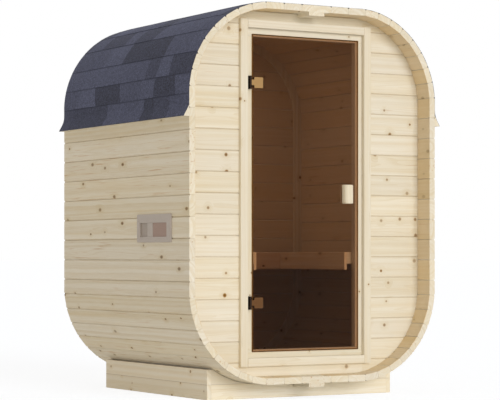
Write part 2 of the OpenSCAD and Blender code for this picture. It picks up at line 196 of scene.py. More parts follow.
def eased_block(low: Sequence[float], high: Sequence[float], axis: Axis, corner: float,
                end: float, steps: int = 3) -> Surface:
    """Make a block whose long arrises and ends are rounded.

    A rounded rectangle is carried along the axis. Near the ends its corner radius shrinks by
    end * (1 - sin t) while it moves end * (1 - cos t) in from the end, t from 0 to a quarter turn.

    Args:
        low: Lowest corner.
        high: Highest corner.
        axis: Axis that the long arrises follow.
        corner: Radius of the long arrises.
        end: Radius of the end arrises, less than corner.
        steps: Chords in each quarter turn.

    Returns:
        The closed block.
    """
    low, high = np.array(low, float), np.array(high, float)
    run, across = axis.value, [(axis.value + 1) % 3, (axis.value + 2) % 3]
    middle, half = (low + high) / 2, (high - low) / 2
    angle, side_u, side_v = quarter_turns(steps)
    t = np.linspace(0, math.pi / 2, steps + 1)
    inset = end * (1 - np.sin(np.concatenate([t, t[::-1]])))[:, None]
    place = np.concatenate([low[run] + end * (1 - np.cos(t)),
                            high[run] - end * (1 - np.cos(t[::-1]))])[:, None]
    u = middle[across[0]] + side_u * (half[across[0]] - corner) + (corner - inset) * np.cos(angle)
    v = middle[across[1]] + side_v * (half[across[1]] - corner) + (corner - inset) * np.sin(angle)
    return loft(along_axis(u, v, place, axis))


def turned(radii: Sequence[float], heights: Sequence[float], centre: Sequence[float], axis: Axis,
           sides: int = 32, looped: bool = False) -> Surface:
    """Turn a profile about an axis: the point at angle t is radius * (cos t, sin t) at its height.

    Args:
        radii: Radius at each point of the profile.
        heights: Height of each point along the axis, from the centre.
        centre: The origin of the heights.
        axis: The axis to turn about.
        sides: Chords round the axis.
        looped: Whether the profile closes on itself, as for a tube.

    Returns:
        The closed mesh.
    """
    angle = np.linspace(0, 2 * math.pi, sides, endpoint=False)
    radius = np.array(radii)[:, None]
    rings = along_axis(radius * np.cos(angle), radius * np.sin(angle), np.array(heights)[:, None], axis)
    return loft(rings + np.array(centre), looped)


def new_object(name: str, data: bpy.types.ID) -> bpy.types.Object:
    """Put an object into the scene.

    Args:
        name: Its name.
        data: Its mesh, light or camera.

    Returns:
        The object.
    """
    thing = bpy.data.objects.new(name, data)
    bpy.context.scene.collection.objects.link(thing)
    return thing


def place_piece(name: str, surface: Surface, material: bpy.types.Material, body: str,
                replaced: Sequence[str] = ()) -> None:
    """Put a mesh into the scene as a piece of the part.

    Args:
        name: Name of the piece.
        surface: Its mesh, in place.
        material: Its finish.
        body: The moving body that it belongs to.
        replaced: The solids that it stands for.
    """
    mesh = bpy.data.meshes.new(name)
    mesh.from_pydata(surface.points.tolist(), [],
                     surface.quads.tolist() + [cap.tolist() for cap in surface.caps])
    for key, values in surface.marks.items():
        mesh.attributes.new(key, "FLOAT", "POINT").data.foreach_set("value", values)
    mesh.polygons.foreach_set("use_smooth", np.ones(len(mesh.polygons), bool))
    mesh.set_sharp_from_angle(angle=SHARP_EDGE)
    mesh.materials.append(material)
    piece = new_object(name, mesh)
    piece.modifiers.new("weighted_normals", "WEIGHTED_NORMAL").keep_sharp = True
    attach(piece, body)
    if replaced:
        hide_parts(*replaced)
    LOG.info("%s: %d faces on %s", name, len(mesh.polygons), body)


def dress_node(node: str, material: bpy.types.Material) -> None:
    """Give a solid its finish.

    Args:
        node: Name of the solid.
        material: Its finish.
    """
    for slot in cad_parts[node].material_slots:
        slot.material = material
    LOG.info("%s: dressed", node)


# Materials


class Kind(Enum):
    """The kinds of node in use: Blender's name, and the setting that makes the node this kind."""

    ABSOLUTE = ("ShaderNodeMath", "operation", "ABSOLUTE")
    ADD_SHADER = ("ShaderNodeAddShader",)
    ANGLE = ("ShaderNodeMath", "operation", "ARCTAN2")
    ATTRIBUTE = ("ShaderNodeAttribute",)
    BACKGROUND = ("ShaderNodeBackground",)
    BUMP = ("ShaderNodeBump",)
    CELLS = ("ShaderNodeTexVoronoi",)
    CLEAR = ("ShaderNodeBsdfTransparent",)
    COMBINE = ("ShaderNodeCombineXYZ",)
    COORDINATES = ("ShaderNodeTexCoord",)
    DICE = ("ShaderNodeTexWhiteNoise",)
    DIFFUSE = ("ShaderNodeBsdfDiffuse",)
    FLOOR = ("ShaderNodeMath", "operation", "FLOOR")
    FRACTION = ("ShaderNodeMath", "operation", "FRACT")
    FRESNEL = ("ShaderNodeFresnel",)
    GLOSS = ("ShaderNodeBsdfAnisotropic",)
    GLOW = ("ShaderNodeEmission",)
    LENGTH = ("ShaderNodeVectorMath", "operation", "LENGTH")
    LESS = ("ShaderNodeMath", "operation", "LESS_THAN")
    MAXIMUM = ("ShaderNodeMath", "operation", "MAXIMUM")
    MINUS = ("ShaderNodeMath", "operation", "SUBTRACT")
    MIX = ("ShaderNodeMix", "data_type", "RGBA")
    MIX_SHADER = ("ShaderNodeMixShader",)
    MORE = ("ShaderNodeMath", "operation", "GREATER_THAN")
    NOISE = ("ShaderNodeTexNoise",)
    OUTPUT = ("ShaderNodeOutputMaterial",)
    OVER = ("ShaderNodeMath", "operation", "DIVIDE")
    PLUS = ("ShaderNodeMath", "operation", "ADD")
    PRINCIPLED = ("ShaderNodeBsdfPrincipled",)
    RANGE = ("ShaderNodeMapRange",)
    RAYS = ("ShaderNodeLightPath",)
    REMAINDER = ("ShaderNodeMath", "operation", "FLOORED_MODULO")
    SIGN = ("ShaderNodeMath", "operation", "SIGN")
    SPLIT = ("ShaderNodeSeparateXYZ",)
    SPLIT_COLOUR = ("ShaderNodeSeparateColor",)
    STRETCH = ("ShaderNodeVectorMath", "operation", "MULTIPLY")
    TIMES = ("ShaderNodeMath", "operation", "MULTIPLY")
    TIMES_PLUS = ("ShaderNodeMath", "operation", "MULTIPLY_ADD")
    TONE = ("ShaderNodeHueSaturation",)
    WORLD_OUTPUT = ("ShaderNodeOutputWorld",)


def linear(colour: str) -> tuple[float, float, float, float]:
    """Turn an sRGB hex colour into linear numbers.

    Args:
        colour: Such as "#E9DFC5".

    Returns:
        Red, green, blue and an alpha of one.
    """
    srgb = np.array([int(colour[i:i + 2], 16) for i in (1, 3, 5)]) / 255
    value = np.where(srgb <= 0.04045, srgb / 12.92, ((srgb + 0.055) / 1.055) ** 2.4)
    return (*value.tolist(), 1.0)


def add_node(tree: bpy.types.NodeTree, kind: Kind, inputs: Mapping[str, Any] | Sequence[Any] = (),
             **settings: Any) -> Socket:
    """Add a node, change its settings, and set or link its inputs.

    Args:
        tree: The nodes of a material or a world.
        kind: Which node it is.
        inputs: Values or sockets, by the input's name or in the order of the inputs in use.
        settings: The node's own settings.

    Returns:
        The first output that is in use, or the only input of a node that has no output.
    """
    blender_name, *preset = kind.value
    node = tree.nodes.new(blender_name)
    if preset:
        setattr(node, *preset)
    for name, value in settings.items():
        setattr(node, name, value)
    in_use = [s for s in node.inputs if s.enabled]
    if isinstance(inputs, Mapping):
        sockets = [next(s for s in in_use if s.name == name) for name in inputs]
        values = list(inputs.values())
    else:
        sockets, values = in_use[:len(inputs)], inputs
    for socket, value in zip(sockets, values, strict=True):
        if isinstance(value, Socket):
            tree.links.new(value, socket)
        else:
            socket.default_value = value
    return next((s for s in node.outputs if s.enabled), node.inputs[0] if node.inputs else None)


def node_adder(owner: bpy.types.Material | bpy.types.World) -> Adder:
    """Clear the nodes of a material or a world.

    Args:
        owner: What the nodes belong to.

    Returns:
        The function that adds nodes to it.
    """
    owner.use_nodes = True
    owner.node_tree.nodes.clear()
    return partial(add_node, owner.node_tree)


def new_material(name: str) -> tuple[bpy.types.Material, Adder]:
    """Start a material with no nodes.

    Args:
        name: Its name.

    Returns:
        The material, and the function that adds nodes to it.
    """
    material = bpy.data.materials.new(name)
    return material, node_adder(material)


def count_boards(add: Adder, way: Socket, pitch: float, width: float) -> tuple[Socket, Socket]:
    """Count boards along a way.

    The number is the whole part of way / pitch. The fraction left over, less a half and times the
    width, is the way across from the board's own middle.

    Args:
        add: The function that adds nodes.
        way: The way along which boards follow one another, from the first joint.
        pitch: How far along it a board reaches.
        width: The board's width in metres.

    Returns:
        The board's number, and the way across it.
    """
    count = add(Kind.OVER, [way, pitch])
    number = add(Kind.FLOOR, [count])
    share = add(Kind.MINUS, [count, number])
    return number, add(Kind.TIMES_PLUS, [share, width, -width / 2])


@dataclass(frozen=True)
class FlatLay:
    """Boards side by side in a plane: which way they run and where their joints fall."""

    along: Axis
    across: Axis
    seed: int
    first: float = -ONE_BOARD / 2
    pitch: float = ONE_BOARD
    depth: float = 0.0
    mirrored: bool = False
    # Sets the numbers of mirrored boards on the two sides apart
    side_step: float = 31.0

    @property
    def half(self) -> float:
        """Half the width of a board."""
        return self.pitch / 2

    def coordinates(self, add: Adder) -> list[Socket]:
        """Work out a board's own coordinates from the object's.

        Boards are counted from the first joint. Mirrored ones count outwards from the part's middle.

        Args:
            add: The function that adds nodes.

        Returns:
            The way along the board, across it and into it, and the board's number.
        """
        place = add(Kind.COORDINATES).node.outputs["Object"]
        xyz = add(Kind.SPLIT, [place]).node.outputs
        third = 3 - self.along.value - self.across.value
        across = xyz[self.across.value]
        if self.mirrored:
            side = add(Kind.SIGN, [across])
            across = add(Kind.ABSOLUTE, [across])
        from_first = add(Kind.MINUS, [across, self.first])
        number, own = count_boards(add, from_first, self.pitch, self.pitch)
        if self.mirrored:
            number = add(Kind.TIMES_PLUS, [side, self.side_step, number])
        into = add(Kind.MINUS, [xyz[third], self.depth])
        return [xyz[self.along.value], own, into, number]


@dataclass(frozen=True)
class CornerLay:
    """Staves round a corner, each a fixed turn on from the last, running front to back."""

    centre: tuple[float, float]
    radius: float
    first: float
    turn: float
    seed: int
    along: Axis = Axis.Y

    @property
    def half(self) -> float:
        """Half the width of a stave, round the circle."""
        return self.turn * self.radius / 2

    def coordinates(self, add: Adder) -> list[Socket]:
        """Work out a stave's own coordinates from the object's.

        The angle about the corner's centre gives the stave's number and, times the radius, the way
        across it. The distance from the centre less the radius is the way into it.

        Args:
            add: The function that adds nodes.

        Returns:
            The way along the stave, across it and into it, and the stave's number.
        """
        place = add(Kind.COORDINATES).node.outputs["Object"]
        xyz = add(Kind.SPLIT, [place]).node.outputs
        x = add(Kind.MINUS, [xyz[0], self.centre[0]])
        z = add(Kind.MINUS, [xyz[2], self.centre[1]])
        angle = add(Kind.ANGLE, [z, x])
        from_first = add(Kind.MINUS, [angle, self.first])
        whole = add(Kind.REMAINDER, [from_first, 2 * math.pi])
        number, own = count_boards(add, whole, self.turn, self.turn * self.radius)
        flat = add(Kind.COMBINE, [x, z])
        reach = add(Kind.LENGTH, [flat]).node.outputs["Value"]
        into = add(Kind.MINUS, [reach, self.radius])
        return [xyz[self.along.value], own, into, number]


@dataclass(frozen=True)
class Board:
    """Where on its board a point is, which board that is, and the three lots that the board drew."""

    along: Socket
    across: Socket
    into: Socket
    number: Socket
    seeded: Socket
    lots: tuple[Socket, ...]
    local: Socket
    sawn: Socket


@dataclass(frozen=True)
class PlanedSpruce:
    """Planed, unfinished Nordic spruce.

    The eye gets a pale cream board with faint growth rings that close to arcs on the end grain,
    small brown knots with a dark rim, and now and then a streak of resin.
    """

    pale: str = "#F4EFE0"
    late: str = "#D8C7A1"
    heart: str = "#E9DAB8"
    knot: str = "#6A4A16"
    knot_rim: str = "#B0822F"
    resin: str = "#C79A5E"
    joint: str = "#8C6C45"
    inner: str = "#E2C48F"
    # Numbers that set boards and pieces apart: metres, rows of knots and steps of the dice
    board_shift: float = 40.0
    row_step: float = 5.37
    seed_step: float = 7.13
    # A face that looks along the grain by more than this cosine is end grain
    end_cosine: float = 0.7
    # Growth rings of slow-grown spruce, and where in a ring the late wood begins and is full
    ring_mm: float = 2.6
    late_from: tuple[float, float] = (0.45, 0.95)
    late_depth: float = 0.2
    # The share of late wood's colour in a board, before its rings, bands and fibres are added
    ground: float = 0.2
    # Bands of like rings, which show at a distance where single rings don't
    band_mm: float = 17.0
    # How far the pith may lie aside of a board's middle, how far behind it at least, and how much more
    pith_aside_mm: float = 75.0
    pith_behind_mm: float = 30.0
    pith_spread_mm: float = 100.0
    # Length and width of slow waves, and how far they and the knots bend the rings
    wave_mm: tuple[float, float] = (1100.0, 70.0)
    wave_bend_mm: float = 22.0
    knot_bend_mm: float = 7.0
    # One place for a knot in each square of this size, a share of them taken
    knot_cell_mm: float = 125.0
    knot_scatter: float = 0.85
    knot_share: float = 0.31
    knot_mm: tuple[float, float] = (4.5, 11.0)
    # How much longer than wide a knot is, cut along the grain
    knot_stretch: float = 1.0
    # Where a knot fades, where its rim is, and where the grain flows round it, in its own radii
    knot_edge: tuple[float, float] = (0.75, 1.25)
    rim_edge: tuple[float, float] = (0.3, 0.85)
    flow_edge: tuple[float, float] = (0.8, 4.5)
    knot_depth: tuple[float, float] = (0.45, 1.0)
    flow_depth: float = 0.35
    # From this deep on, towards the inside, a stave takes the warmer inner tone
    inner_mm: tuple[float, float] = (36.6, 37.6)
    inner_depth: float = 0.0
    # Joints gape by less than half a millimetre. They are drawn wider, or the render would show none
    joint_mm: float = 1.8
    joint_depth: float = 0.6
    # What is left of a joint on end grain
    end_joint: float = 0.5
    # Painted shade in the vee between two staves' outer arrises, under the roofing that covers it
    vee_shade: str = "#2E2B2B"
    vee_shade_mm: float = 0.0
    vee_shade_edge: float = 0.8
    # Length and width of the fibres' streaks, of the broad changes of tone and of resin
    fibre_mm: tuple[float, float] = (130.0, 1.8)
    tone_mm: tuple[float, float] = (800.0, 30.0)
    resin_mm: tuple[float, float] = (330.0, 13.0)
    # How strongly the bands and the fibres show, and how high noise must be for heartwood and resin
    band_depth: float = 0.95
    fibre_depth: float = 0.45
    heart_from: tuple[float, float] = (0.48, 0.8)
    heart_depth: float = 0.5
    resin_from: float = 0.66
    resin_edge: float = 0.1
    # Resin shows in few boards: those that drew a high lot
    resin_lot: tuple[float, float] = (0.55, 0.95)
    resin_depth: float = 0.7
    # How much boards differ in lightness and in strength of colour
    lightness: tuple[float, float] = (0.955, 1.03)
    strength: tuple[float, float] = (0.86, 1.1)
    bump_mm: float = 0.12
    bump_strength: float = 0.6
    ring_bump: float = 0.6
    roughness: tuple[float, float] = (0.5, 0.66)
    rough_from: tuple[float, float] = (0.3, 0.7)
    shine: float = 0.3

    def board(self, add: Adder, lay: FlatLay | CornerLay) -> Board:
        """Find a point's board, its place there and the lots that the board drew.

        Args:
            add: The function that adds nodes.
            lay: How the boards lie.

        Returns:
            The sockets. The first lot also shifts the board's pattern along the grain.
        """
        along, across, into, number = lay.coordinates(add)
        seeded = add(Kind.PLUS, [number, lay.seed * self.seed_step])
        dice = add(Kind.DICE, {"W": seeded}, noise_dimensions="1D").node.outputs["Color"]
        lots = tuple(add(Kind.SPLIT_COLOUR, [dice]).node.outputs)
        shifted = add(Kind.TIMES_PLUS, [lots[0], self.board_shift, along])
        normal = add(Kind.COORDINATES).node.outputs["Normal"]
        facing = add(Kind.SPLIT, [normal]).node.outputs[lay.along.value]
        square = add(Kind.ABSOLUTE, [facing])
        sawn = add(Kind.LESS, [square, self.end_cosine])
        local = add(Kind.COMBINE, [shifted, across, into])
        return Board(shifted, across, into, number, seeded, lots, local, sawn)

    def streaks(self, add: Adder, board: Board, size_mm: tuple[float, float],
                detail: float = 2.0) -> Socket:
        """Add noise drawn out along the grain.

        Args:
            add: The function that adds nodes.
            board: The point's place on its board.
            size_mm: Length and width of a streak.
            detail: How many finer layers it has.

        Returns:
            The noise.
        """
        length, width = (1 / (size * MM) for size in size_mm)
        drawn = add(Kind.STRETCH, [board.local, (length, width, width)])
        return add(Kind.NOISE, {"Vector": drawn, "Scale": 1.0, "Detail": detail})

    def knots(self, add: Adder, board: Board) -> tuple[Socket, Socket, Socket, Socket]:
        """Scatter knots: the nearest cell's point, if its lot takes it, with a radius of its own.

        Args:
            add: The function that adds nodes.
            board: The point's place on its board. End grain has no knots.

        Returns:
            How much a point is in a knot, in its rim and in the grain round it, and the knot's lot.
        """
        cell = self.knot_cell_mm * MM
        row = add(Kind.TIMES_PLUS, [board.number, self.row_step * cell, board.across])
        short = add(Kind.OVER, [board.along, self.knot_stretch])
        spot = add(Kind.COMBINE, [short, row])
        cells = add(Kind.CELLS, {"Vector": spot, "Scale": 1 / cell, "Randomness": self.knot_scatter},
                    voronoi_dimensions="2D").node.outputs
        chance, size, lot = add(Kind.SPLIT_COLOUR, [cells["Color"]]).node.outputs
        lucky = add(Kind.MORE, [chance, 1 - self.knot_share])
        taken = add(Kind.TIMES, [lucky, board.sawn])
        low, high = (radius / self.knot_cell_mm for radius in self.knot_mm)
        radius = add(Kind.RANGE, [size, 0.0, 1.0, low, high])
        reach = add(Kind.OVER, [cells["Distance"], radius])
        shares = []
        for start, end in (self.knot_edge, self.flow_edge):
            near = add(Kind.RANGE, [reach, start, end, 1.0, 0.0])
            shares.append(add(Kind.TIMES, [near, taken]))
        knot, flow = shares
        rim = add(Kind.RANGE, [reach, *self.rim_edge])
        return knot, rim, flow, lot

    def growth(self, add: Adder, board: Board, flow: Socket) -> Socket:
        """Measure the way from the pith, which lies beside the board where its lots put it.

        Args:
            add: The function that adds nodes.
            board: The point's place on its board.
            flow: How much the point is in the grain round a knot.

        Returns:
            The distance, bent by slow noise and by the knots.
        """
        aside, behind = self.pith_aside_mm * MM, self.pith_behind_mm * MM
        pith_u = add(Kind.TIMES_PLUS, [board.lots[1], -2 * aside, aside])
        pith_v = add(Kind.TIMES_PLUS, [board.lots[2], self.pith_spread_mm * MM, behind])
        u = add(Kind.PLUS, [board.across, pith_u])
        v = add(Kind.PLUS, [board.into, pith_v])
        from_pith = add(Kind.COMBINE, [u, v])
        way = add(Kind.LENGTH, [from_pith]).node.outputs["Value"]
        wave = self.streaks(add, board, self.wave_mm)
        for bend, size_mm in ((wave, self.wave_bend_mm), (flow, self.knot_bend_mm)):
            way = add(Kind.TIMES_PLUS, [bend, size_mm * MM, way])
        return way

    def material(self, name: str, lay: FlatLay | CornerLay) -> bpy.types.Material:
        """Make the finish for boards that lie in a given way.

        Args:
            name: Name of the material.
            lay: How the boards lie.

        Returns:
            The material. A point's place in its ring is the fraction of the way from the pith over
            ring_mm. The tones are laid over the pale wood in order, each by its own share.
        """
        material, add = new_material(name)
        board = self.board(add, lay)
        knot, rim, flow, lot = self.knots(add, board)
        growth = self.growth(add, board, flow)
        rings = add(Kind.OVER, [growth, self.ring_mm * MM])
        ring = add(Kind.FRACTION, [rings])
        late = add(Kind.RANGE, [ring, *self.late_from], interpolation_type="SMOOTHSTEP")
        bands = add(Kind.TIMES_PLUS, [growth, 1 / (self.band_mm * MM), board.seeded])
        band = add(Kind.NOISE, {"W": bands, "Scale": 1.0, "Detail": 2.5}, noise_dimensions="1D")
        fibre = self.streaks(add, board, self.fibre_mm)
        level = self.ground - (self.band_depth + self.fibre_depth) / 2
        drawn = add(Kind.TIMES_PLUS, [late, self.late_depth, level])
        drawn = add(Kind.TIMES_PLUS, [band, self.band_depth, drawn])
        drawn = add(Kind.TIMES_PLUS, [fibre, self.fibre_depth, drawn], use_clamp=True)

        tone = self.streaks(add, board, self.tone_mm)
        warm = add(Kind.RANGE, [tone, *self.heart_from, 0.0, self.heart_depth])
        deep = add(Kind.ABSOLUTE, [board.into])
        inside = add(Kind.RANGE, [deep, self.inner_mm[0] * MM, self.inner_mm[1] * MM, 0.0,
                                  self.inner_depth])
        pocket = add(Kind.RANGE, [self.streaks(add, board, self.resin_mm, 3.0), self.resin_from,
                                  self.resin_from + self.resin_edge])
        few = add(Kind.RANGE, [board.lots[2], *self.resin_lot, 0.0, self.resin_depth])
        resin = add(Kind.TIMES, [pocket, few])
        stain = add(Kind.TIMES, [flow, self.flow_depth])
        # Knots are as much fainter on the inner side as the inner tone is strong there
        outside = add(Kind.MINUS, [1.0, inside])
        dark = add(Kind.RANGE, [lot, 0.0, 1.0, *self.knot_depth])
        depth = add(Kind.TIMES, [dark, outside])
        brown = add(Kind.TIMES, [knot, depth])
        eye = add(Kind.MIX, [rim, linear(self.knot), linear(self.knot_rim)])
        aside = add(Kind.ABSOLUTE, [board.across])
        gap = add(Kind.RANGE, [aside, lay.half - self.joint_mm * MM, lay.half, 0.0, self.joint_depth])
        shown = add(Kind.RANGE, [board.sawn, 0.0, 1.0, self.end_joint, 1.0])
        joint = add(Kind.TIMES, [gap, shown])
        layers = [(drawn, linear(self.late)), (warm, linear(self.heart)), (inside, linear(self.inner)),
                  (resin, linear(self.resin)), (stain, linear(self.late)), (brown, eye),
                  (joint, linear(self.joint))]
        # Painted shade: the vee under the roofing is darkened
        if self.vee_shade_mm:
            away = add(Kind.MINUS, [deep, aside])
            vee_shade = add(Kind.RANGE, [away, self.vee_shade_mm * MM - lay.half,
                                   self.vee_shade_edge * self.vee_shade_mm * MM - lay.half])
            layers.append((vee_shade, linear(self.vee_shade)))
        colour: Any = linear(self.pale)
        for share, laid in layers:
            colour = add(Kind.MIX, [share, colour, laid])
        value = add(Kind.RANGE, [board.lots[0], 0.0, 1.0, *self.lightness])
        strength = add(Kind.RANGE, [board.lots[1], 0.0, 1.0, *self.strength])
        colour = add(Kind.TONE, {"Color": colour, "Value": value, "Saturation": strength})

        height = add(Kind.TIMES_PLUS, [late, self.ring_bump, fibre])
        bump = add(Kind.BUMP, {"Height": height, "Distance": self.bump_mm * MM,
                               "Strength": self.bump_strength})
        rough = add(Kind.RANGE, [fibre, *self.rough_from, *self.roughness])
        shader = add(Kind.PRINCIPLED, {"Base Color": colour, "Roughness": rough, "Normal": bump,
                                       "Specular IOR Level": self.shine})
        add(Kind.OUTPUT, {"Surface": shader})
        return material


@dataclass(frozen=True)
class LaminatedShingle:
    """Laminated bitumen shingles with mineral granules.

    The eye gets a matt, speckled blue-grey in tabs of several shades, with a band of painted shade
    under each course's foot.
    """

    dark: str = "#373A48"
    mid: str = "#565B74"
    light: str = "#707896"
    # Granules are about 1.2 mm. They are drawn coarser, or the render would show none
    granule_mm: float = 5.5
    clump_mm: float = 14.0
    # How much single granules and clumps of them change a tab's shade
    grit_depth: float = 0.55
    clump_depth: float = 0.5
    # A band of painted shade, in dark granules, lies at the top of each tab, under the next course's
    # foot
    band_mm: float = 9.0
    band_depth: float = 0.8
    bump_mm: float = 1.0
    bump_strength: float = 0.5
    roughness: tuple[float, float] = (0.78, 0.95)
    shine: float = 0.25

    def material(self, name: str, exposure: float) -> bpy.types.Material:
        """Make the finish.

        Args:
            name: Name of the material.
            exposure: Length of each course that shows.

        Returns:
            The material. It reads each tab's shade and the way up the tab from the mesh.
        """
        material, add = new_material(name)
        place = add(Kind.COORDINATES).node.outputs["Object"]
        shade = add(Kind.ATTRIBUTE, attribute_name="shade").node.outputs["Fac"]
        climb = add(Kind.ATTRIBUTE, attribute_name="climb").node.outputs["Fac"]
        cells = add(Kind.CELLS, {"Vector": place, "Scale": 1 / (self.granule_mm * MM)})
        grains = cells.node.outputs
        grit = add(Kind.SPLIT_COLOUR, [grains["Color"]])
        clump = add(Kind.NOISE, {"Vector": place, "Scale": 1 / (self.clump_mm * MM), "Detail": 3.0})
        level = -(self.grit_depth + self.clump_depth) / 2
        speck = add(Kind.TIMES_PLUS, [grit, self.grit_depth, level])
        speck = add(Kind.TIMES_PLUS, [clump, self.clump_depth, speck])
        tone = add(Kind.PLUS, [shade, speck], use_clamp=True)
        low = add(Kind.RANGE, [tone, 0.0, 0.5])
        high = add(Kind.RANGE, [tone, 0.5])
        colour = add(Kind.MIX, [low, linear(self.dark), linear(self.mid)])
        colour = add(Kind.MIX, [high, colour, linear(self.light)])
        # Painted shade: the band darkens each tab where the next course's foot would shade it
        share = self.band_mm * MM / exposure
        shade_band_at = add(Kind.TIMES_PLUS, [clump, share, climb])
        band = add(Kind.RANGE, [shade_band_at, 1 - share / 2, 1 + share / 2, 0.0, self.band_depth])
        colour = add(Kind.MIX, [band, colour, linear(self.dark)])
        bump = add(Kind.BUMP, {"Height": grains["Distance"], "Distance": self.bump_mm * MM,
                               "Strength": self.bump_strength})
        rough = add(Kind.RANGE, [grit, 0.0, 1.0, *self.roughness])
        shader = add(Kind.PRINCIPLED, {"Base Color": colour, "Roughness": rough, "Normal": bump,
                                       "Specular IOR Level": self.shine})
        add(Kind.OUTPUT, {"Surface": shader})
        return material


@dataclass(frozen=True)
class BronzeGlass:
    """Bronze-tinted toughened float glass with polished edges.

    The eye sees a dim brown room through it, a tan line of painted shade along its edge and
    hardly any reflection.
    """

    # What one of the pane's two faces lets through, and the darker tint that paints shade along its edge
    tint: str = "#D5C2B5"
    edge: str = "#A68755"
    edge_shade_mm: float = 8.0
    # What a face lets through of the light that falls on the wood behind it, close to the pane and deep
    # in the room, and the distances in metres between which the one becomes the other
    lets_in: str = "#FFFCF4"
    lets_deep: str = "#B4A498"
    fade: tuple[float, float] = (0.15, 0.8)
    # Less than the 1.52 of float glass, because the photograph's light leaves hardly any reflection
    ior: float = 1.185
    # Wiping leaves smears of this size, rough by up to this much
    smear_mm: float = 200.0
    smear_rough: float = 0.06

    def material(self, name: str, node: str) -> bpy.types.Material:
        """Make the finish.

        Args:
            name: Name of the material.
            node: The upright pane's solid, whose box gives the edge.

        Returns:
            The material. Each face lets light straight through and mirrors a little at its rim.
            The painted edge shade is where the way from the middle, less half the size, is over
            -edge_shade_mm. The tint is in what is seen through. Light that falls on wood close behind
            the pane keeps its colour, and goes over to lets_deep as the way to the wood grows.
        """
        material, add = new_material(name)
        low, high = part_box(node)
        mirror = add(Kind.FRESNEL, {"IOR": self.ior})
        place = add(Kind.COORDINATES).node.outputs["Object"]
        xyz = add(Kind.SPLIT, [place]).node.outputs
        past = []
        for axis in (Axis.X.value, Axis.Z.value):
            aside = add(Kind.MINUS, [xyz[axis], (low[axis] + high[axis]) / 2])
            away = add(Kind.ABSOLUTE, [aside])
            past.append(add(Kind.MINUS, [away, (high[axis] - low[axis]) / 2]))
        nearest = add(Kind.MAXIMUM, past)
        # Painted shade: the tint darkens to the edge colour near the pane's border
        line = add(Kind.RANGE, [nearest, -self.edge_shade_mm * MM, -self.edge_shade_mm * MM / 2])
        tint = add(Kind.MIX, [line, linear(self.tint), linear(self.edge)])
        smear = add(Kind.NOISE, {"Vector": place, "Scale": 1 / (self.smear_mm * MM), "Detail": 3.0})
        rough = add(Kind.RANGE, [smear, 0.0, 1.0, 0.0, self.smear_rough])
        rays = add(Kind.RAYS).node.outputs
        falling = add(Kind.MAXIMUM, [rays["Is Shadow Ray"], rays["Is Diffuse Ray"]])
        depth = add(Kind.RANGE, [rays["Ray Length"], *self.fade])
        light = add(Kind.MIX, [depth, linear(self.lets_in), linear(self.lets_deep)])
        passed = add(Kind.MIX, [falling, tint, light])
        through = add(Kind.CLEAR, {"Color": passed})
        gloss = add(Kind.GLOSS, {"Roughness": rough})
        shader = add(Kind.MIX_SHADER, [mirror, through, gloss])
        add(Kind.OUTPUT, {"Surface": shader})
        return material


@dataclass(frozen=True)
class BrushedMetal:
    """Metal brushed along one way: fine lines, a soft streaked gloss, painted shade towards the foot."""

    base: str
    worn: str
    # Painted shade lower down: what is left of the colour, in full below the lower height
    # and not at all over the upper one
    low_shade: str = ""
    low_shade_z: tuple[float, float] = (0.6, 1.6)
    # Brush lines are about 0.2 mm. They are drawn coarser, or the render would show none
    line_mm: tuple[float, float, float] = (40.0, 40.0, 0.9)
    roughness: tuple[float, float] = (0.3, 0.5)
    bump_mm: float = 0.05
    bump_strength: float = 0.4

    def material(self, name: str) -> bpy.types.Material:
        """Make the finish.

        Args:
            name: Name of the material.

        Returns:
            The material.
        """
        material, add = new_material(name)
        place = add(Kind.COORDINATES).node.outputs["Object"]
        scale = tuple(1 / (size * MM) for size in self.line_mm)
        drawn = add(Kind.STRETCH, [place, scale])
        lines = add(Kind.NOISE, {"Vector": drawn, "Scale": 1.0, "Detail": 3.0})
        colour = add(Kind.MIX, [lines, linear(self.base), linear(self.worn)])
        if self.low_shade:
            # Painted shade: darker towards the foot
            height = add(Kind.SPLIT, [place]).node.outputs[Axis.Z.value]
            low_shade_share = add(Kind.RANGE, [height, self.low_shade_z[1], self.low_shade_z[0]])
            colour = add(Kind.MIX, [low_shade_share, colour, linear(self.low_shade)], blend_type="MULTIPLY")
        rough = add(Kind.RANGE, [lines, 0.0, 1.0, *self.roughness])
        bump = add(Kind.BUMP, {"Height": lines, "Distance": self.bump_mm * MM,
                               "Strength": self.bump_strength})
        shader = add(Kind.PRINCIPLED, {"Base Color": colour, "Metallic": 1.0, "Roughness": rough,
                                       "Normal": bump})
        add(Kind.OUTPUT, {"Surface": shader})
        return material


@dataclass(frozen=True)
class MouldedPlastic:
    """Moulded ABS: an even, satin grey with a fine pebbled skin."""

    base: str
    shade: str
    # The mould's spark texture is about 0.4 mm. It is drawn coarser, or the render would show none
    pebble_mm: float = 1.6
    # Faint clouds of the second shade to a metre
    clouds: float = 14.0
    roughness: tuple[float, float] = (0.42, 0.55)
    bump_mm: float = 0.1
    bump_strength: float = 0.4

    def material(self, name: str) -> bpy.types.Material:
        """Make the finish.

        Args:
            name: Name of the material.

        Returns:
            The material.
        """
        material, add = new_material(name)
        place = add(Kind.COORDINATES).node.outputs["Object"]
        pebble = add(Kind.NOISE, {"Vector": place, "Scale": 1 / (self.pebble_mm * MM),
                                  "Detail": 2.0})
        cloud = add(Kind.NOISE, {"Vector": place, "Scale": self.clouds, "Detail": 2.0})
        colour = add(Kind.MIX, [cloud, linear(self.base), linear(self.shade)])
        rough = add(Kind.RANGE, [pebble, 0.0, 1.0, *self.roughness])
        bump = add(Kind.BUMP, {"Height": pebble, "Distance": self.bump_mm * MM,
                               "Strength": self.bump_strength})
        shader = add(Kind.PRINCIPLED, {"Base Color": colour, "Roughness": rough, "Normal": bump})
        add(Kind.OUTPUT, {"Surface": shader})
        return material


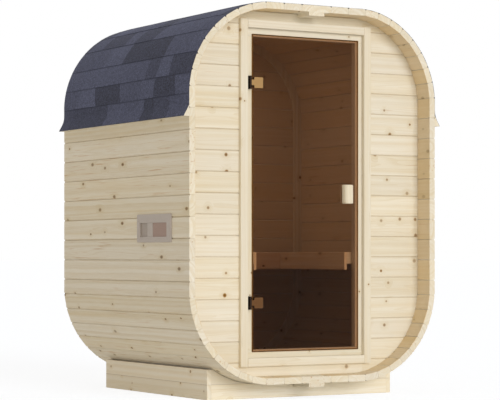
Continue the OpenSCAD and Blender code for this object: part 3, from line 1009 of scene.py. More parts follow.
SPRUCE = PlanedSpruce()
STAVE_SPRUCE = PlanedSpruce(knot="#533A12", knot_rim="#A07A36", knot_share=0.5, knot_stretch=1.7,
                            fibre_depth=0.75, resin_from=0.61, inner_depth=0.55)
# Staves under the roof, with painted shade in the vees between them
ROOFED_SPRUCE = replace(STAVE_SPRUCE, vee_shade_mm=8.0)
KEY_SPRUCE = replace(STAVE_SPRUCE, inner_depth=0.0)
BENCH_SPRUCE = replace(KEY_SPRUCE, pale="#FFF1DA", late="#EED3A6", heart="#F2DDB4", knot_share=0.85,
                       knot_mm=(6.0, 12.0))
WALL_SPRUCE = PlanedSpruce(knot="#6A4A12", knot_rim="#A97B2E", knot_mm=(5.5, 12.0), joint="#9A6A22",
                           joint_depth=0.42, band_depth=0.75, inner_depth=0.55)
FRESH_SPRUCE = PlanedSpruce(pale="#FAF4E4", late="#E4D2A9", heart="#F0E0BC")
CLEAR_SPRUCE = PlanedSpruce(knot_share=0.05, knot_mm=(1.5, 4.0), band_mm=11.0)
SHINGLE = LaminatedShingle()
GLASS = BronzeGlass()
# Brass with painted shade that darkens the lower hinge
BRASS = BrushedMetal(base="#866842", worn="#A08157", low_shade="#AA9999")
DARK_STEEL = BrushedMetal(base="#2A211B", worn="#3A2F28", roughness=(0.4, 0.6))
VENT_PLATE = MouldedPlastic(base="#C6BEB8", shade="#BDB5AF")
VENT_LEAF = MouldedPlastic(base="#B0978C", shade="#A68D82")
VENT_RIB = MouldedPlastic(base="#B2A8A0", shade="#A99F97")


# The sub-assemblies


@dataclass
class Barrel:
    """The staves: floor, walls, roof and the rounded corners between them."""

    board_w: float = 0.120
    corner_w: float = 0.0945
    turn: float = math.radians(10)
    key_half: float = field(init=False)
    flat_half: float = field(init=False)
    half_w: float = field(init=False)
    low: float = field(init=False)
    side_low: float = field(init=False)
    side_high: float = field(init=False)
    top: float = field(init=False)

    def __post_init__(self) -> None:
        """Read the section's main sizes from the solids."""
        self.key_half = edge("floor_key_stave", Axis.X, Side.HIGH)
        self.flat_half = self.key_half + 2 * self.board_w
        self.half_w = edge("right_wall_staves", Axis.X, Side.HIGH)
        self.low = edge("floor_staves", Axis.Z, Side.LOW)
        self.side_low = edge("right_wall_staves", Axis.Z, Side.LOW)
        self.side_high = edge("right_wall_staves", Axis.Z, Side.HIGH)
        self.top = edge("roof_staves", Axis.Z, Side.HIGH)

    @property
    def radius(self) -> float:
        """Radius of a corner's circle: half a stave's chord over the sine of half a turn."""
        return self.corner_w / 2 / math.sin(self.turn / 2)

    @property
    def centre(self) -> tuple[float, float]:
        """Centre of the upper right corner's circle, half a turn in from the flats on either side."""
        return (self.flat_half - self.radius * math.sin(self.turn / 2),
                self.side_high - self.radius * math.sin(self.turn / 2))

    def corner_lay(self, right: bool, upper: bool, seed: int) -> CornerLay:
        """Say how a corner's staves lie.

        Args:
            right: Whether the corner is on the right.
            upper: Whether the corner is under the roof.
            seed: Number that sets its boards apart.

        Returns:
            The lay. Its first joint is half a turn past the axis that the corner starts from.
        """
        x, z = self.centre
        lower_z = self.side_low + self.radius * math.sin(self.turn / 2)
        quarter = {(True, True): 0, (False, True): 1, (False, False): 2, (True, False): 3}[right, upper]
        return CornerLay(centre=(x if right else -x, z if upper else lower_z), radius=self.radius,
                         first=quarter * math.pi / 2 + self.turn / 2, turn=self.turn, seed=seed)

    def dress(self) -> None:
        """Give every stave its finish."""
        flats = {"floor_staves": (1, self.low), "roof_staves": (2, self.top)}
        for node, (seed, z) in flats.items():
            lay = FlatLay(Axis.Y, Axis.X, seed, self.key_half, self.board_w, z, mirrored=True)
            finish = ROOFED_SPRUCE if node == "roof_staves" else STAVE_SPRUCE
            dress_node(node, finish.material(f"spruce_{node}", lay))
        for node, (seed, z) in {"floor_key_stave": (3, self.low),
                                "roof_key_stave": (4, self.top)}.items():
            lay = FlatLay(Axis.Y, Axis.X, seed, depth=z)
            dress_node(node, KEY_SPRUCE.material(f"spruce_{node}", lay))
        for node, (seed, x) in {"left_wall_staves": (5, -self.half_w),
                                "right_wall_staves": (6, self.half_w)}.items():
            lay = FlatLay(Axis.Y, Axis.Z, seed, self.side_high, self.board_w, x)
            dress_node(node, STAVE_SPRUCE.material(f"spruce_{node}", lay))
        corners = {"upper_right_corner": (True, True, 7), "upper_left_corner": (False, True, 8),
                   "lower_left_corner": (False, False, 9), "lower_right_corner": (True, False, 10)}
        for node, (right, upper, seed) in corners.items():
            finish = ROOFED_SPRUCE if upper else STAVE_SPRUCE
            dress_node(node, finish.material(f"spruce_{node}", self.corner_lay(right, upper, seed)))


@dataclass
class EndWalls:
    """The board walls inside the barrel's ends, and the battens on the back one."""

    board_w: float = 0.120
    foot_board_h: float = 0.082

    def dress(self) -> None:
        """Give the walls their finish."""
        first = edge("back_wall", Axis.Z, Side.LOW) + self.foot_board_h
        walls = {"front_wall_left": Side.LOW, "front_wall_right": Side.LOW, "front_wall_top": Side.LOW,
                 "front_wall_bottom": Side.LOW, "back_wall": Side.HIGH}
        for seed, (node, face) in enumerate(walls.items(), start=20):
            lay = FlatLay(Axis.X, Axis.Z, seed, first, self.board_w, edge(node, Axis.Y, face))
            dress_node(node, WALL_SPRUCE.material(f"spruce_{node}", lay))
        lay = FlatLay(Axis.Z, Axis.X, 26, depth=edge("back_wall_battens", Axis.Y, Side.LOW),
                      mirrored=True)
        dress_node("back_wall_battens", SPRUCE.material("spruce_battens", lay))


@dataclass
class Base:
    """The plinth of two boards a side, and the bearers behind it."""

    board_h: float = 0.086

    def dress(self) -> None:
        """Give the plinth its finish."""
        runs = {"base_front": Axis.X, "base_back": Axis.X, "base_left": Axis.Y, "base_right": Axis.Y}
        for seed, (node, run) in enumerate(runs.items(), start=30):
            lay = FlatLay(run, Axis.Z, seed, 0.0, self.board_h, edge(node, run.crosswise, Side.LOW))
            dress_node(node, FRESH_SPRUCE.material(f"spruce_{node}", lay))
        lay = FlatLay(Axis.Y, Axis.Z, 36)
        dress_node("base_bearers", SPRUCE.material("spruce_base_bearers", lay))


@dataclass
class Roof:
    """Shingles in courses from both eaves to the ridge, over the barrel and the eave fillets."""

    barrel: Barrel
    # How much of a course shows, where the lowest ones have their feet, and how far they overlap
    exposure: float = 0.140
    low_feet: tuple[float, ...] = (0.0, 0.138, 0.252, 0.380, 0.534)
    lap: float = 0.035
    # A sheet's thickness, what a laminated tab adds to it, and the room under both
    sheet_t: float = 0.0021
    tooth_t: float = 0.0006
    lift: float = 0.0004
    # Least and most width of a tab, enough tabs for the longest course, and the lean of a tab's sides
    tab: tuple[float, float] = (0.13, 0.33)
    tab_count: int = 16
    slant: float = 0.035
    # Shares of laminated and of dark tabs, and the shades that are drawn from
    raised_share: float = 0.45
    dark_share: float = 0.3
    dark_shades: tuple[float, float] = (0.16, 0.36)
    plain_shades: tuple[float, float] = (0.48, 0.64)
    cap_shades: tuple[float, float] = (0.4, 0.6)
    seed: int = 1904
    # Points up a tab and round the corner's circle
    rows: int = 9
    arc_points: int = 60
    # The starter strip ends short of the second course's foot
    starter_share: float = 0.9
    cap_half: float = 0.105
    cap_exposure: float = 0.14
    cap_t: float = 0.0013
    cap_thinning: float = 0.5
    cap_rest: float = 0.0045
    # Steps of the roof's line, and how far a bend in it is smoothed
    step: float = 0.004
    blend: float = 0.05
    # Over this far from either end the shingles are nailed down flat, to a share of their height
    verge: float = 0.14
    pressed_share: float = 0.25
    eave_low: float = field(init=False)
    eave_high: float = field(init=False)
    eave_x: float = field(init=False)
    front: float = field(init=False)
    back: float = field(init=False)
    path: np.ndarray = field(init=False)
    normal: np.ndarray = field(init=False)
    length: float = field(init=False)

    def __post_init__(self) -> None:
        """Read the eaves and the ends, and lay out the way from an eave to the ridge."""
        self.eave_low = edge("eave_fillets", Axis.Z, Side.LOW)
        self.eave_high = edge("eave_fillets", Axis.Z, Side.HIGH)
        self.eave_x = edge("eave_fillets", Axis.X, Side.HIGH)
        self.front = edge("roof_cover", Axis.Y, Side.LOW)
        self.back = edge("roof_cover", Axis.Y, Side.HIGH)
        self.path, self.normal = self.climb_path()
        self.length = self.step * (len(self.path) - 1)

    def climb_path(self) -> tuple[np.ndarray, np.ndarray]:
        """Lay out the right half of the roof's line, from the eave to the ridge.

        The eave's slope, the wall, the circle through the stave edges and the flat are put at even
        steps, and each point is then the mean of its neighbours under a bell-shaped weight.

        Returns:
            Points at even steps in X and Z, and the outward normal at each.
        """
        b = self.barrel
        angle = np.linspace(b.turn / 2, math.pi / 2 - b.turn / 2, self.arc_points)
        arc = np.array(b.centre) + b.radius * np.stack([np.cos(angle), np.sin(angle)], -1)
        corners = np.concatenate([[[self.eave_x, self.eave_low], [b.half_w, self.eave_high]], arc,
                                  [[0.0, b.top]]])
        reach = np.concatenate([[0.0], np.cumsum(np.linalg.norm(np.diff(corners, axis=0), axis=1))])
        even = np.arange(0, reach[-1], self.step)
        line = np.stack([np.interp(even, reach, corners[:, i]) for i in (0, 1)], -1)
        reach_out = round(self.blend / self.step)
        weight = np.hanning(2 * reach_out + 1)
        padded = np.pad(line, ((reach_out, reach_out), (0, 0)), mode="reflect", reflect_type="odd")
        path = np.stack([np.convolve(padded[:, i], weight / weight.sum(), "valid") for i in (0, 1)], -1)
        tangent = np.gradient(path, axis=0)
        tangent /= np.linalg.norm(tangent, axis=1)[:, None]
        return path, np.stack([tangent[:, 1], -tangent[:, 0]], -1)

    def on_roof(self, way: np.ndarray, height: np.ndarray, side: int) -> np.ndarray:
        """Find points on one half of the roof.

        Args:
            way: Distance up from the eave.
            height: Distance out from the staves.
            side: 1 on the right, -1 on the left.

        Returns:
            X and Z of each point: the place on the line plus height times the normal.
        """
        even = np.arange(len(self.path)) * self.step
        at = np.stack([np.interp(way, even, self.path[:, i]) for i in (0, 1)], -1)
        out = np.stack([np.interp(way, even, self.normal[:, i]) for i in (0, 1)], -1)
        return (at + height[..., None] * out) * np.array([side, 1])

    def pressed(self, y: np.ndarray) -> np.ndarray:
        """Find the share of its height that the roofing keeps at a place along the roof.

        Args:
            y: Places along the roof.

        Returns:
            The share: pressed_share at either end, and evenly more up to one a verge's width in.
        """
        inset = np.minimum(y - self.front, self.back - y) / self.verge
        return self.pressed_share + (1 - self.pressed_share) * np.clip(inset, 0, 1)

    def stations(self, start: float, end: float) -> np.ndarray:
        """Find where a run along the roof needs rings: at its ends, and where the height stops rising.

        Args:
            start: Where the run starts.
            end: Where it ends.

        Returns:
            The places, in order. A bend within a slant of either end is left out.
        """
        bends = np.array([self.front + self.verge, self.back - self.verge])
        inner = bends[(bends > start + self.slant) & (bends < end - self.slant)]
        return np.concatenate([[start], inner, [end]])

    def underside(self, up: np.ndarray, shown: float) -> np.ndarray:
        """Find a tab's height over the staves: over a sheet's at its foot, and evenly less up it."""
        return self.lift + self.sheet_t * (1 + (self.lap - up) / shown)

    def tab_slab(self, foot: float, shown: float, ends: np.ndarray, slants: np.ndarray, side: int,
                 thick: float, shade: float) -> Surface:
        """Make one tab: a bent slab whose foot lies on the course below.

        The underside falls from one sheet's height at the foot to the staves at the top, so that
        each course's top meets the next one's foot.

        Args:
            foot: Way up from the eave to the tab's foot.
            shown: Length of the tab that shows under the next course.
            ends: Where the tab starts and ends along the roof.
            slants: How far each end leans over the length that shows.
            side: 1 on the right, -1 on the left.
            thick: The tab's thickness.
            shade: Its shade, from dark at 0 to light at 1.

        Returns:
            The closed slab, with its shade and the way up it at each point.
        """
        full = min(shown + self.lap, self.length - foot)
        up = np.linspace(0, full, self.rows)
        under = self.underside(up, shown)
        way = np.concatenate([up, up[::-1]])
        height = np.concatenate([under + thick, under[::-1]])
        at = self.stations(*ends)
        lean = np.zeros(len(at))
        lean[[0, -1]] = slants
        y = at[:, None] + lean[:, None] * (way / shown - 0.5)
        xz = self.on_roof(foot + way, height * self.pressed(y), side)
        slab = loft(np.stack([xz[..., 0], y, xz[..., 1]], -1))
        slab.marks = {"shade": np.full(len(slab.points), shade), "climb": np.tile(way / shown, len(at))}
        return slab

    def courses(self, dice: np.random.Generator) -> list[Surface]:
        """Lay the tabs of every course on both sides.

        Args:
            dice: Seeded random numbers for the tabs' widths and shades.

        Returns:
            The tabs.
        """
        tabs = []
        high_feet = np.arange(self.low_feet[-1] + self.exposure, self.length - self.cap_half,
                              self.exposure)
        feet = np.concatenate([self.low_feet, high_feet])
        for side in (-1, 1):
            for foot, shown in zip(feet, np.diff(feet, append=feet[-1] + self.exposure)):
                widths = dice.uniform(*self.tab, size=self.tab_count)
                cuts = self.front - dice.uniform(0, self.tab[0]) + np.cumsum(widths)
                cuts = cuts[(cuts > self.front + self.slant) & (cuts < self.back - self.slant)]
                marks = np.concatenate([[self.front], cuts, [self.back]])
                lean = np.concatenate([[0.0], dice.uniform(-self.slant, self.slant, len(cuts)), [0.0]])
                for i in range(len(marks) - 1):
                    raised = dice.random() < self.raised_share
                    dark = dice.random() < self.dark_share
                    shade = dice.uniform(*(self.dark_shades if dark else self.plain_shades))
                    thick = self.sheet_t + (self.tooth_t if raised else 0.0)
                    tabs.append(self.tab_slab(foot, shown, marks[i:i + 2], lean[i:i + 2], side, thick,
                                              shade))
        return tabs

    def starters(self) -> list[Surface]:
        """Lay the strip that packs up the foot of each side's first course.

        It is a wedge from the eave up: flat below, and above as high as the first course's underside.

        Returns:
            The two strips.
        """
        strips = []
        shown = self.low_feet[1]
        up = np.linspace(0, self.starter_share * shown, self.rows)
        top = self.underside(up, shown)
        way = np.concatenate([up, up[::-1]])
        height = np.concatenate([top, np.full(self.rows, self.lift / 2)])
        at = self.stations(self.front, self.back)[:, None]
        for side in (-1, 1):
            xz = self.on_roof(way, height * self.pressed(at), side)
            strip = loft(np.stack(np.broadcast_arrays(xz[..., 0], at, xz[..., 1]), -1))
            strip.marks = {key: np.zeros(len(strip.points)) for key in ("shade", "climb")}
            strips.append(strip)
        return strips

    def ridge_caps(self, dice: np.random.Generator) -> list[Surface]:
        """Lay the caps that cover the topmost courses, each over the foot of the last.

        Args:
            dice: Seeded random numbers for the caps' shades.

        Returns:
            The caps.
        """
        caps = []
        across = np.linspace(-self.cap_half, self.cap_half, 2 * self.rows)
        for start in np.arange(self.front, self.back - MM, self.cap_exposure):
            end = min(start + self.cap_exposure, self.back)
            at = self.stations(start, end)[:, None]
            shade = dice.uniform(*self.cap_shades)
            rest = self.cap_rest * self.pressed(at) + np.zeros(across.shape)
            x = np.concatenate([across, across[::-1]])
            z_low = self.on_roof(self.length - np.abs(across), rest, 1)[..., 1]
            thinned = 1 - self.cap_thinning * (at - start) / (end - start)
            thick = self.cap_t * thinned * self.pressed(at)
            z = np.concatenate([z_low + thick, z_low[:, ::-1]], 1)
            cap = loft(np.stack(np.broadcast_arrays(x, at, z), -1))
            cap.marks = {"shade": np.full(len(cap.points), shade), "climb": np.zeros(len(cap.points))}
            caps.append(cap)
        return caps

    def build(self) -> None:
        """Make the shingles and dress the fillets under the eaves."""
        dice = np.random.default_rng(self.seed)
        tabs = join(self.courses(dice) + self.ridge_caps(dice) + self.starters())
        place_piece("shingle_courses", tabs, SHINGLE.material("laminated_shingle", self.exposure), CABIN,
                    ["roof_cover"])
        lay = FlatLay(Axis.Y, Axis.X, 40, depth=self.eave_low, mirrored=True)
        dress_node("eave_fillets", SPRUCE.material("spruce_eave_fillets", lay))


@dataclass
class Door:
    """The casing and frame of the doorway, and the glass with its hinges and handles."""

    arris: float = 0.0015
    pane_corner: float = 4 * MM
    grip_end: float = 0.007
    grip_power: float = 3.4
    # Points round a grip's section, and from its end to its full size
    grip_points: tuple[int, int] = (41, 7)
    plate_h: float = 0.062
    leaf_corner: float = 1.2 * MM
    leaf_arris: float = 0.0008
    # Height of the tongue, how far from the pin it starts and how far it reaches under the leaf
    tongue_h: float = 0.032
    tongue_from: float = 5 * MM
    tongue_lap: float = MM
    tongue_corner: float = MM
    tongue_arris: float = 0.5 * MM
    barrel_r: float = 0.008
    barrel_edge: float = MM
    pin_r: float = 0.0041
    # Radius of a screw's head, where screws sit across a leaf, and the head's profile in radii
    screw_r: float = 0.0045
    screw_shares: tuple[float, ...] = (0.3, 0.7)
    screw_radii: tuple[float, ...] = (1.0, 1.0, 0.82, 0.5, 0.42, 0.4)
    screw_heights: tuple[float, ...] = (0.0, 0.25, 0.42, 0.48, 0.4, 0.18)

    def dress_frame(self) -> None:
        """Give the casing and the frame their finish."""
        upright = ("casing_left", "casing_right", "frame_left_jamb", "frame_right_jamb")
        level = ("casing_head", "casing_sill", "frame_head", "frame_sill")
        for seed, node in enumerate(upright + level, start=50):
            run, width = (Axis.Z, Axis.X) if node in upright else (Axis.X, Axis.Z)
            low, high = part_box(node)
            middle = (low[width.value] + high[width.value]) / 2
            lay = FlatLay(run, width, seed, middle - ONE_BOARD / 2, depth=low.y)
            dress_node(node, SPRUCE.material(f"spruce_{node}", lay))

    def build_glass(self) -> None:
        """Make the pane, with eased corners and polished arrises."""
        low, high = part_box("door_glass")
        pane = eased_block(low, high, Axis.Y, self.pane_corner, self.arris)
        finish = GLASS.material("bronze_glass", "door_glass")
        place_piece("glass_pane", pane, finish, DOOR, ["door_glass"])

    def grip(self, node: str, way: int) -> Surface:
        """Make a handle block: flat on the glass and round in front.

        Its section is half a superellipse: at angle t from 0 to half a turn, the way across is
        half the width times cos t to the power 2 / grip_power, and the way out is the depth times
        sin t to the same power. The section is carried up the block and shrinks at both ends by
        grip_end * (1 - sin s), s from 0 to a quarter turn.

        Args:
            node: The solid that the block stands for.
            way: 1 or -1, the way that it points along Y.

        Returns:
            The closed block.
        """
        low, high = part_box(node)
        t = np.linspace(0, math.pi, self.grip_points[0])
        s = np.linspace(0, math.pi / 2, self.grip_points[1])
        inset = self.grip_end * (1 - np.sin(np.concatenate([s, s[::-1]])))[:, None]
        z = np.concatenate([low.z + self.grip_end * (1 - np.cos(s)),
                            high.z - self.grip_end * (1 - np.cos(s[::-1]))])[:, None]
        power = 2 / self.grip_power
        out = np.abs(np.sin(t)) ** power
        across = np.sign(np.cos(t)) * np.abs(np.cos(t)) ** power
        x = (low.x + high.x) / 2 + ((high.x - low.x) / 2 - inset) * across
        start = low.y if way > 0 else high.y
        y = start + way * (high.y - low.y - inset) * out
        return loft(np.stack(np.broadcast_arrays(x, y, z), -1))

    def build_grips(self) -> None:
        """Make the two wooden handle blocks."""
        grips = {"outer_grip": ("outer_handle", -1), "inner_grip": ("inner_handle", 1)}
        for seed, (name, (node, way)) in enumerate(grips.items(), start=60):
            low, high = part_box(node)
            lay = FlatLay(Axis.Z, Axis.X, seed, (low.x + high.x) / 2 - ONE_BOARD / 2, depth=low.y)
            finish = CLEAR_SPRUCE.material(f"clear_spruce_{name}", lay)
            place_piece(name, self.grip(node, way), finish, DOOR, [node])

    def screw(self, centre: Sequence[float], axis: Axis, way: int) -> Surface:
        """Make a pan-head screw with a round socket.

        Args:
            centre: Middle of the face that it sits on.
            axis: Axis that it points along.
            way: 1 or -1, the way that its head faces.

        Returns:
            The head.
        """
        radii = np.array(self.screw_radii) * self.screw_r
        heights = way * np.array(self.screw_heights) * self.screw_r
        return turned(radii, heights, centre, axis, sides=20)

    def build_hinges(self) -> None:
        """Make the hinges: brass leaves that clamp the glass, tongues to the barrels, dark barrels."""
        low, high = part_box("hinge_plates")
        pane_low, pane_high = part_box("door_glass")
        knuckle_low, knuckle_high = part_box("hinge_knuckles")
        levels = (low.z + self.plate_h / 2, high.z - self.plate_h / 2)
        pin_x, pin_y = knuckle_low.x + self.barrel_r, knuckle_low.y + self.barrel_r
        barrel_half = knuckle_high.z - levels[1]
        leaves, tongues, barrels, screws = [], [], [], []
        for z in levels:
            for y0, y1 in ((low.y, pane_low.y), (pane_high.y, high.y)):
                foot, head = (low.x, y0, z - self.plate_h / 2), (high.x, y1, z + self.plate_h / 2)
                leaves.append(eased_block(foot, head, Axis.Y, self.leaf_corner, self.leaf_arris))
            for share in self.screw_shares:
                screws.append(self.screw((low.x + share * (high.x - low.x), high.y, z), Axis.Y, 1))
            tongues.append(eased_block((pin_x + self.tongue_from, low.y, z - self.tongue_h / 2),
                                       (low.x + self.tongue_lap, pane_low.y, z + self.tongue_h / 2),
                                       Axis.X, self.tongue_corner, self.tongue_arris))
            rim, ends = self.barrel_r - self.barrel_edge, barrel_half - self.barrel_edge
            barrels.append(turned(
                [self.pin_r, rim, self.barrel_r, self.barrel_r, rim, self.pin_r],
                [-barrel_half, -barrel_half, -ends, ends, barrel_half, barrel_half],
                (pin_x, pin_y, z), Axis.Z, sides=40, looped=True))
        brass, steel = BRASS.material("brushed_brass"), DARK_STEEL.material("satin_dark_steel")
        place_piece("hinge_leaves", join(leaves), brass, DOOR, ["hinge_plates"])
        place_piece("hinge_tongues", join(tongues), brass, DOOR, ["hinge_knuckles"])
        place_piece("hinge_barrels", join(barrels), steel, DOOR, ["hinge_knuckles"])
        place_piece("hinge_screws", join(screws), steel, DOOR)
        dress_node("hinge_brackets", steel)

    def build(self) -> None:
        """Make the door and dress the doorway."""
        self.dress_frame()
        self.build_glass()
        self.build_grips()
        self.build_hinges()


@dataclass
class Vent:
    """The ventilator on the left wall: a moulded plate round a window, and a slide in it."""

    corner: float = 0.006
    window_corner: float = 0.003
    corner_steps: int = 4
    rib: float = 0.008
    rib_h: float = 0.0007
    rib_points: int = 12
    # Shares of the window's length: narrow leaf, grip and wide leaf
    slide_shares: tuple[float, float, float] = (0.27, 0.20, 0.53)
    # How deep behind the grip's face the leaves lie, and the play between them and the grip
    wide_depth: float = 3 * MM
    narrow_depth: float = 6 * MM
    play: float = MM / 2
    grip_corner: float = 3 * MM
    grip_end: float = MM
    grip_back: float = MM

    def plate(self) -> Surface:
        """Make the plate: rounded rectangles from the outer edge to the window and back behind.

        Returns:
            The closed frame.
        """
        low, high = (np.array(corner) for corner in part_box("vent_plate"))
        hole_low, hole_high = (np.array(corner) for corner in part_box("vent_slide"))
        angle, side_y, side_z = quarter_turns(self.corner_steps)
        # Share of the way from the outer edge to the window, and share of the plate's thickness
        ways = np.array([0.0, 0.0, 0.03, 0.08, 0.62, 0.68, 0.94, 1.0, 1.0])[:, None]
        rises = np.array([0.0, 0.72, 0.93, 1.0, 1.0, 0.8, 0.8, 0.62, 0.0])[:, None]
        centre = (low + high)[None] / 2 * (1 - ways) + (hole_low + hole_high)[None] / 2 * ways
        half = (high - low)[None] / 2 * (1 - ways) + (hole_high - hole_low)[None] / 2 * ways
        radius = self.corner * (1 - ways) + self.window_corner * ways
        y = centre[:, 1:2] + side_y * (half[:, 1:2] - radius) + radius * np.cos(angle)
        z = centre[:, 2:3] + side_z * (half[:, 2:3] - radius) + radius * np.sin(angle)
        x = high[0] + (low[0] - high[0]) * rises
        return loft(np.stack(np.broadcast_arrays(x, y, z), -1), looped=True)

    def leaf(self, y0: float, y1: float, x0: float) -> Surface:
        """Make a ribbed leaf of the slide: its face waves by rib_h with each rib's width.

        Args:
            y0: Its front end.
            y1: Its back end.
            x0: Where its face lies.

        Returns:
            The closed leaf.
        """
        low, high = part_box("vent_slide")
        y = np.linspace(y0, y1, self.rib_points * max(1, round((y1 - y0) / self.rib)) + 1)
        face = x0 + self.rib_h * (1 - np.cos(2 * math.pi * (y - y0) / self.rib)) / 2
        section_y = np.concatenate([y, y[::-1]])
        section_x = np.concatenate([face, np.full(len(y), high.x)])
        z = np.array([low.z, high.z])[:, None]
        return loft(np.stack(np.broadcast_arrays(section_x[None], section_y[None], z), -1))

    def build(self) -> None:
        """Make the plate and the slide."""
        low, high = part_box("vent_slide")
        place_piece("vent_frame", self.plate(), VENT_PLATE.material("grey_vent_plastic"), CABIN,
                    ["vent_plate"])
        length = high.y - low.y
        narrow, grip, wide = (share * length for share in self.slide_shares)
        wide_leaf = self.leaf(low.y, low.y + wide - self.play, low.x + self.wide_depth)
        narrow_leaf = self.leaf(high.y - narrow + self.play, high.y, low.x + self.narrow_depth)
        bar = eased_block((low.x, low.y + wide, low.z),
                          (high.x - self.grip_back, low.y + wide + grip, high.z), Axis.Z,
                          self.grip_corner, self.grip_end)
        leaf_finish = VENT_LEAF.material("brown_vent_plastic")
        place_piece("vent_wide_leaf", wide_leaf, leaf_finish, CABIN, ["vent_slide"])
        place_piece("vent_narrow_leaf", narrow_leaf, VENT_RIB.material("grey_leaf_plastic"), CABIN,
                    ["vent_slide"])
        place_piece("vent_grip", bar, VENT_PLATE.material("grey_grip_plastic"), CABIN,
                    ["vent_slide"])


@dataclass
class Bench:
    """The bench round three sides: slats on bearers, behind fascia boards."""

    slat_gap: float = 0.012
    side_slats: int = 5
    rear_slats: int = 5
    ease: float = 0.004
    end_ease: float = 0.002
    fascia_t: float = 0.018
    fascia_gap: float = MM / 2

    def pitch(self, low: float, high: float, count: int) -> float:
        """Find the way from one slat to the next: the seat's width and one gap, shared out."""
        return (high - low + self.slat_gap) / count

    def slats(self, node: str, across: Axis, count: int) -> Surface:
        """Fill a seat with slats at even gaps.

        Args:
            node: The solid that the slats stand for.
            across: Axis across the slats.
            count: How many there are.

        Returns:
            The slats.
        """
        low, high = (np.array(corner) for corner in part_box(node))
        i = across.value
        pitch = self.pitch(low[i], high[i], count)
        boards = []
        for number in range(count):
            a, b = low.copy(), high.copy()
            a[i] = low[i] + number * pitch
            b[i] = a[i] + pitch - self.slat_gap
            boards.append(eased_block(a, b, across.crosswise, self.ease, self.end_ease))
        return join(boards)

    def build(self) -> None:
        """Make the seats and fascias and dress what carries them."""
        seats = {"left_bench_seat": (Axis.X, self.side_slats),
                 "right_bench_seat": (Axis.X, self.side_slats),
                 "rear_bench_seat": (Axis.Y, self.rear_slats)}
        for seed, (node, (across, count)) in enumerate(seats.items(), start=70):
            low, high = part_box(node)
            i = across.value
            pitch = self.pitch(low[i], high[i], count)
            lay = FlatLay(across.crosswise, across, seed, low[i] - self.slat_gap / 2, pitch, low.z)
            place_piece(node.replace("seat", "slats"), self.slats(node, across, count),
                        SPRUCE.material(f"spruce_{node}", lay), CABIN, [node])
        low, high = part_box("bench_fascias")
        rear_y = high.y - self.fascia_t
        sides = [eased_block((x, low.y, low.z), (x + self.fascia_t, rear_y - self.fascia_gap, high.z),
                             Axis.Y,
                             self.ease, self.end_ease) for x in (low.x, high.x - self.fascia_t)]
        lay = FlatLay(Axis.Y, Axis.Z, 75, depth=low.x)
        place_piece("bench_side_fascias", join(sides), BENCH_SPRUCE.material("spruce_side_fascias", lay),
                    CABIN, ["bench_fascias"])
        rear = eased_block((low.x, rear_y, low.z), (high.x, high.y, high.z), Axis.X, self.ease,
                           self.end_ease)
        lay = FlatLay(Axis.X, Axis.Z, 76, depth=rear_y)
        place_piece("bench_rear_fascia", rear, BENCH_SPRUCE.material("spruce_rear_fascia", lay), CABIN,
                    ["bench_fascias"])
        for seed, node in enumerate(("bench_end_rails", "bench_bearers"), start=77):
            lay = FlatLay(Axis.X, Axis.Z, seed, depth=edge(node, Axis.Y, Side.LOW))
            dress_node(node, SPRUCE.material(f"spruce_{node}", lay))


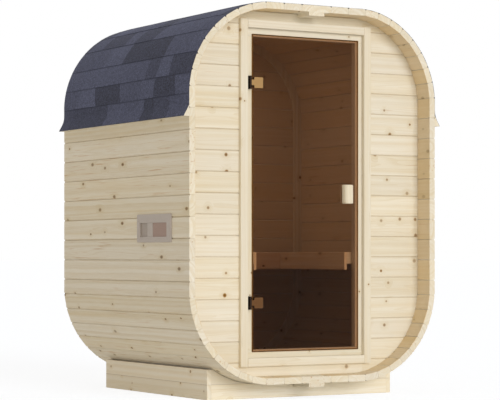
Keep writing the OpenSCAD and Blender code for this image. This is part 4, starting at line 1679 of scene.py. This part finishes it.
@dataclass
class Studio:
    """A pale floor, a soft key light, an even surround and the camera at the photograph's place."""

    image_w: float = 500.0
    image_h: float = 400.0
    focal_px: float = 1944.1
    horizon_px: float = 256.27
    eye: tuple[float, float, float] = (-6.0019, -10.1431, 0.8097)
    turn: float = math.radians(-30.75)
    sensor_mm: float = 36.0
    floor_half: float = 300.0
    surround: str = "#FFF4E4"
    surround_level: float = 0.53
    key_level: float = 1.26
    key_spread: float = math.radians(30)
    key_turn: float = math.radians(6)
    key_rise: float = math.radians(15)
    cabin_watts: float = 3.5
    cabin_size: tuple[float, float] = (0.7, 0.7)
    cabin_x: float = -0.22
    # Far enough under the roof for the lamp's edge to stay inside the rounded corner
    cabin_drop: float = 0.10
    floor_albedo: float = 0.98
    floor_shade: str = "#9299A5"
    floor_glow: float = 0.81

    def camera(self) -> None:
        """Set the camera level at the photograph's viewing point, shifted to its framing."""
        data = bpy.data.cameras.new("camera")
        data.sensor_width = self.sensor_mm
        data.lens = self.focal_px / self.image_w * self.sensor_mm
        data.shift_y = (self.horizon_px - self.image_h / 2) / self.image_w
        data.clip_end = 2 * self.floor_half
        camera = new_object("camera", data)
        camera.location = self.eye
        camera.rotation_euler = (math.pi / 2, 0, self.turn)
        bpy.context.scene.camera = camera

    def seen(self, add: Adder) -> Socket:
        """Tell rays that show the background from those that light the object.

        Args:
            add: The function that adds nodes.

        Returns:
            One for the camera's rays and for those that gloss and glass send on.
        """
        rays = add(Kind.RAYS).node.outputs
        gloss = add(Kind.MAXIMUM, [rays["Is Glossy Ray"], rays["Is Transmission Ray"]])
        return add(Kind.MAXIMUM, [rays["Is Camera Ray"], gloss])

    def light(self) -> None:
        """Light the object with an even surround, a wide key from the front and a fill inside."""
        world = bpy.data.worlds.new("surround")
        add = node_adder(world)
        lit = add(Kind.BACKGROUND, {"Color": linear(self.surround), "Strength": self.surround_level})
        white = add(Kind.BACKGROUND, {"Color": (1, 1, 1, 1), "Strength": 1.0})
        mixed = add(Kind.MIX_SHADER, [self.seen(add), lit, white])
        add(Kind.WORLD_OUTPUT, {"Surface": mixed})
        bpy.context.scene.world = world
        key = bpy.data.lights.new("key", "SUN")
        key.energy = self.key_level
        key.angle = self.key_spread
        lamp = new_object("key", key)
        lamp.rotation_euler = (math.pi / 2 - self.key_rise, 0, self.key_turn)
        fill = bpy.data.lights.new("cabin_fill", "AREA")
        fill.energy = self.cabin_watts
        fill.shape = "RECTANGLE"
        fill.size, fill.size_y = self.cabin_size
        inside = new_object("cabin_fill", fill)
        inside.location = (self.cabin_x, 0, edge("roof_staves", Axis.Z, Side.LOW) - self.cabin_drop)
        inside.visible_camera = inside.visible_glossy = inside.visible_transmission = False

    def floor(self) -> None:
        """Lay a pale floor that shows white and keeps the object's shadow."""
        reach = self.floor_half
        mesh = bpy.data.meshes.new("floor")
        corners = [(-reach, -reach, 0), (reach, -reach, 0), (reach, reach, 0), (-reach, reach, 0)]
        mesh.from_pydata(corners, [], [(0, 1, 2, 3)])
        material, add = new_material("pale_floor")
        plain = add(Kind.DIFFUSE, {"Color": (*3 * [self.floor_albedo], 1)})
        shaded = add(Kind.DIFFUSE, {"Color": linear(self.floor_shade)})
        glow = add(Kind.GLOW, {"Strength": self.floor_glow})
        shown = add(Kind.ADD_SHADER, [shaded, glow])
        mixed = add(Kind.MIX_SHADER, [self.seen(add), plain, shown])
        add(Kind.OUTPUT, {"Surface": mixed})
        mesh.materials.append(material)
        floor = new_object("floor", mesh)

    def build(self) -> None:
        """Set up the camera, the lights and the floor."""
        bpy.context.scene.view_settings.view_transform = "Standard"
        self.camera()
        self.light()
        self.floor()


def main() -> None:
    """Build the sub-assemblies in order."""
    logging.basicConfig(level=logging.INFO, format="%(name)s: %(message)s")
    Studio().build()
    barrel = Barrel()
    barrel.dress()
    EndWalls().dress()
    Base().dress()
    Roof(barrel).build()
    Door().build()
    Vent().build()
    Bench().build()


if __name__ == "__main__":
    main()
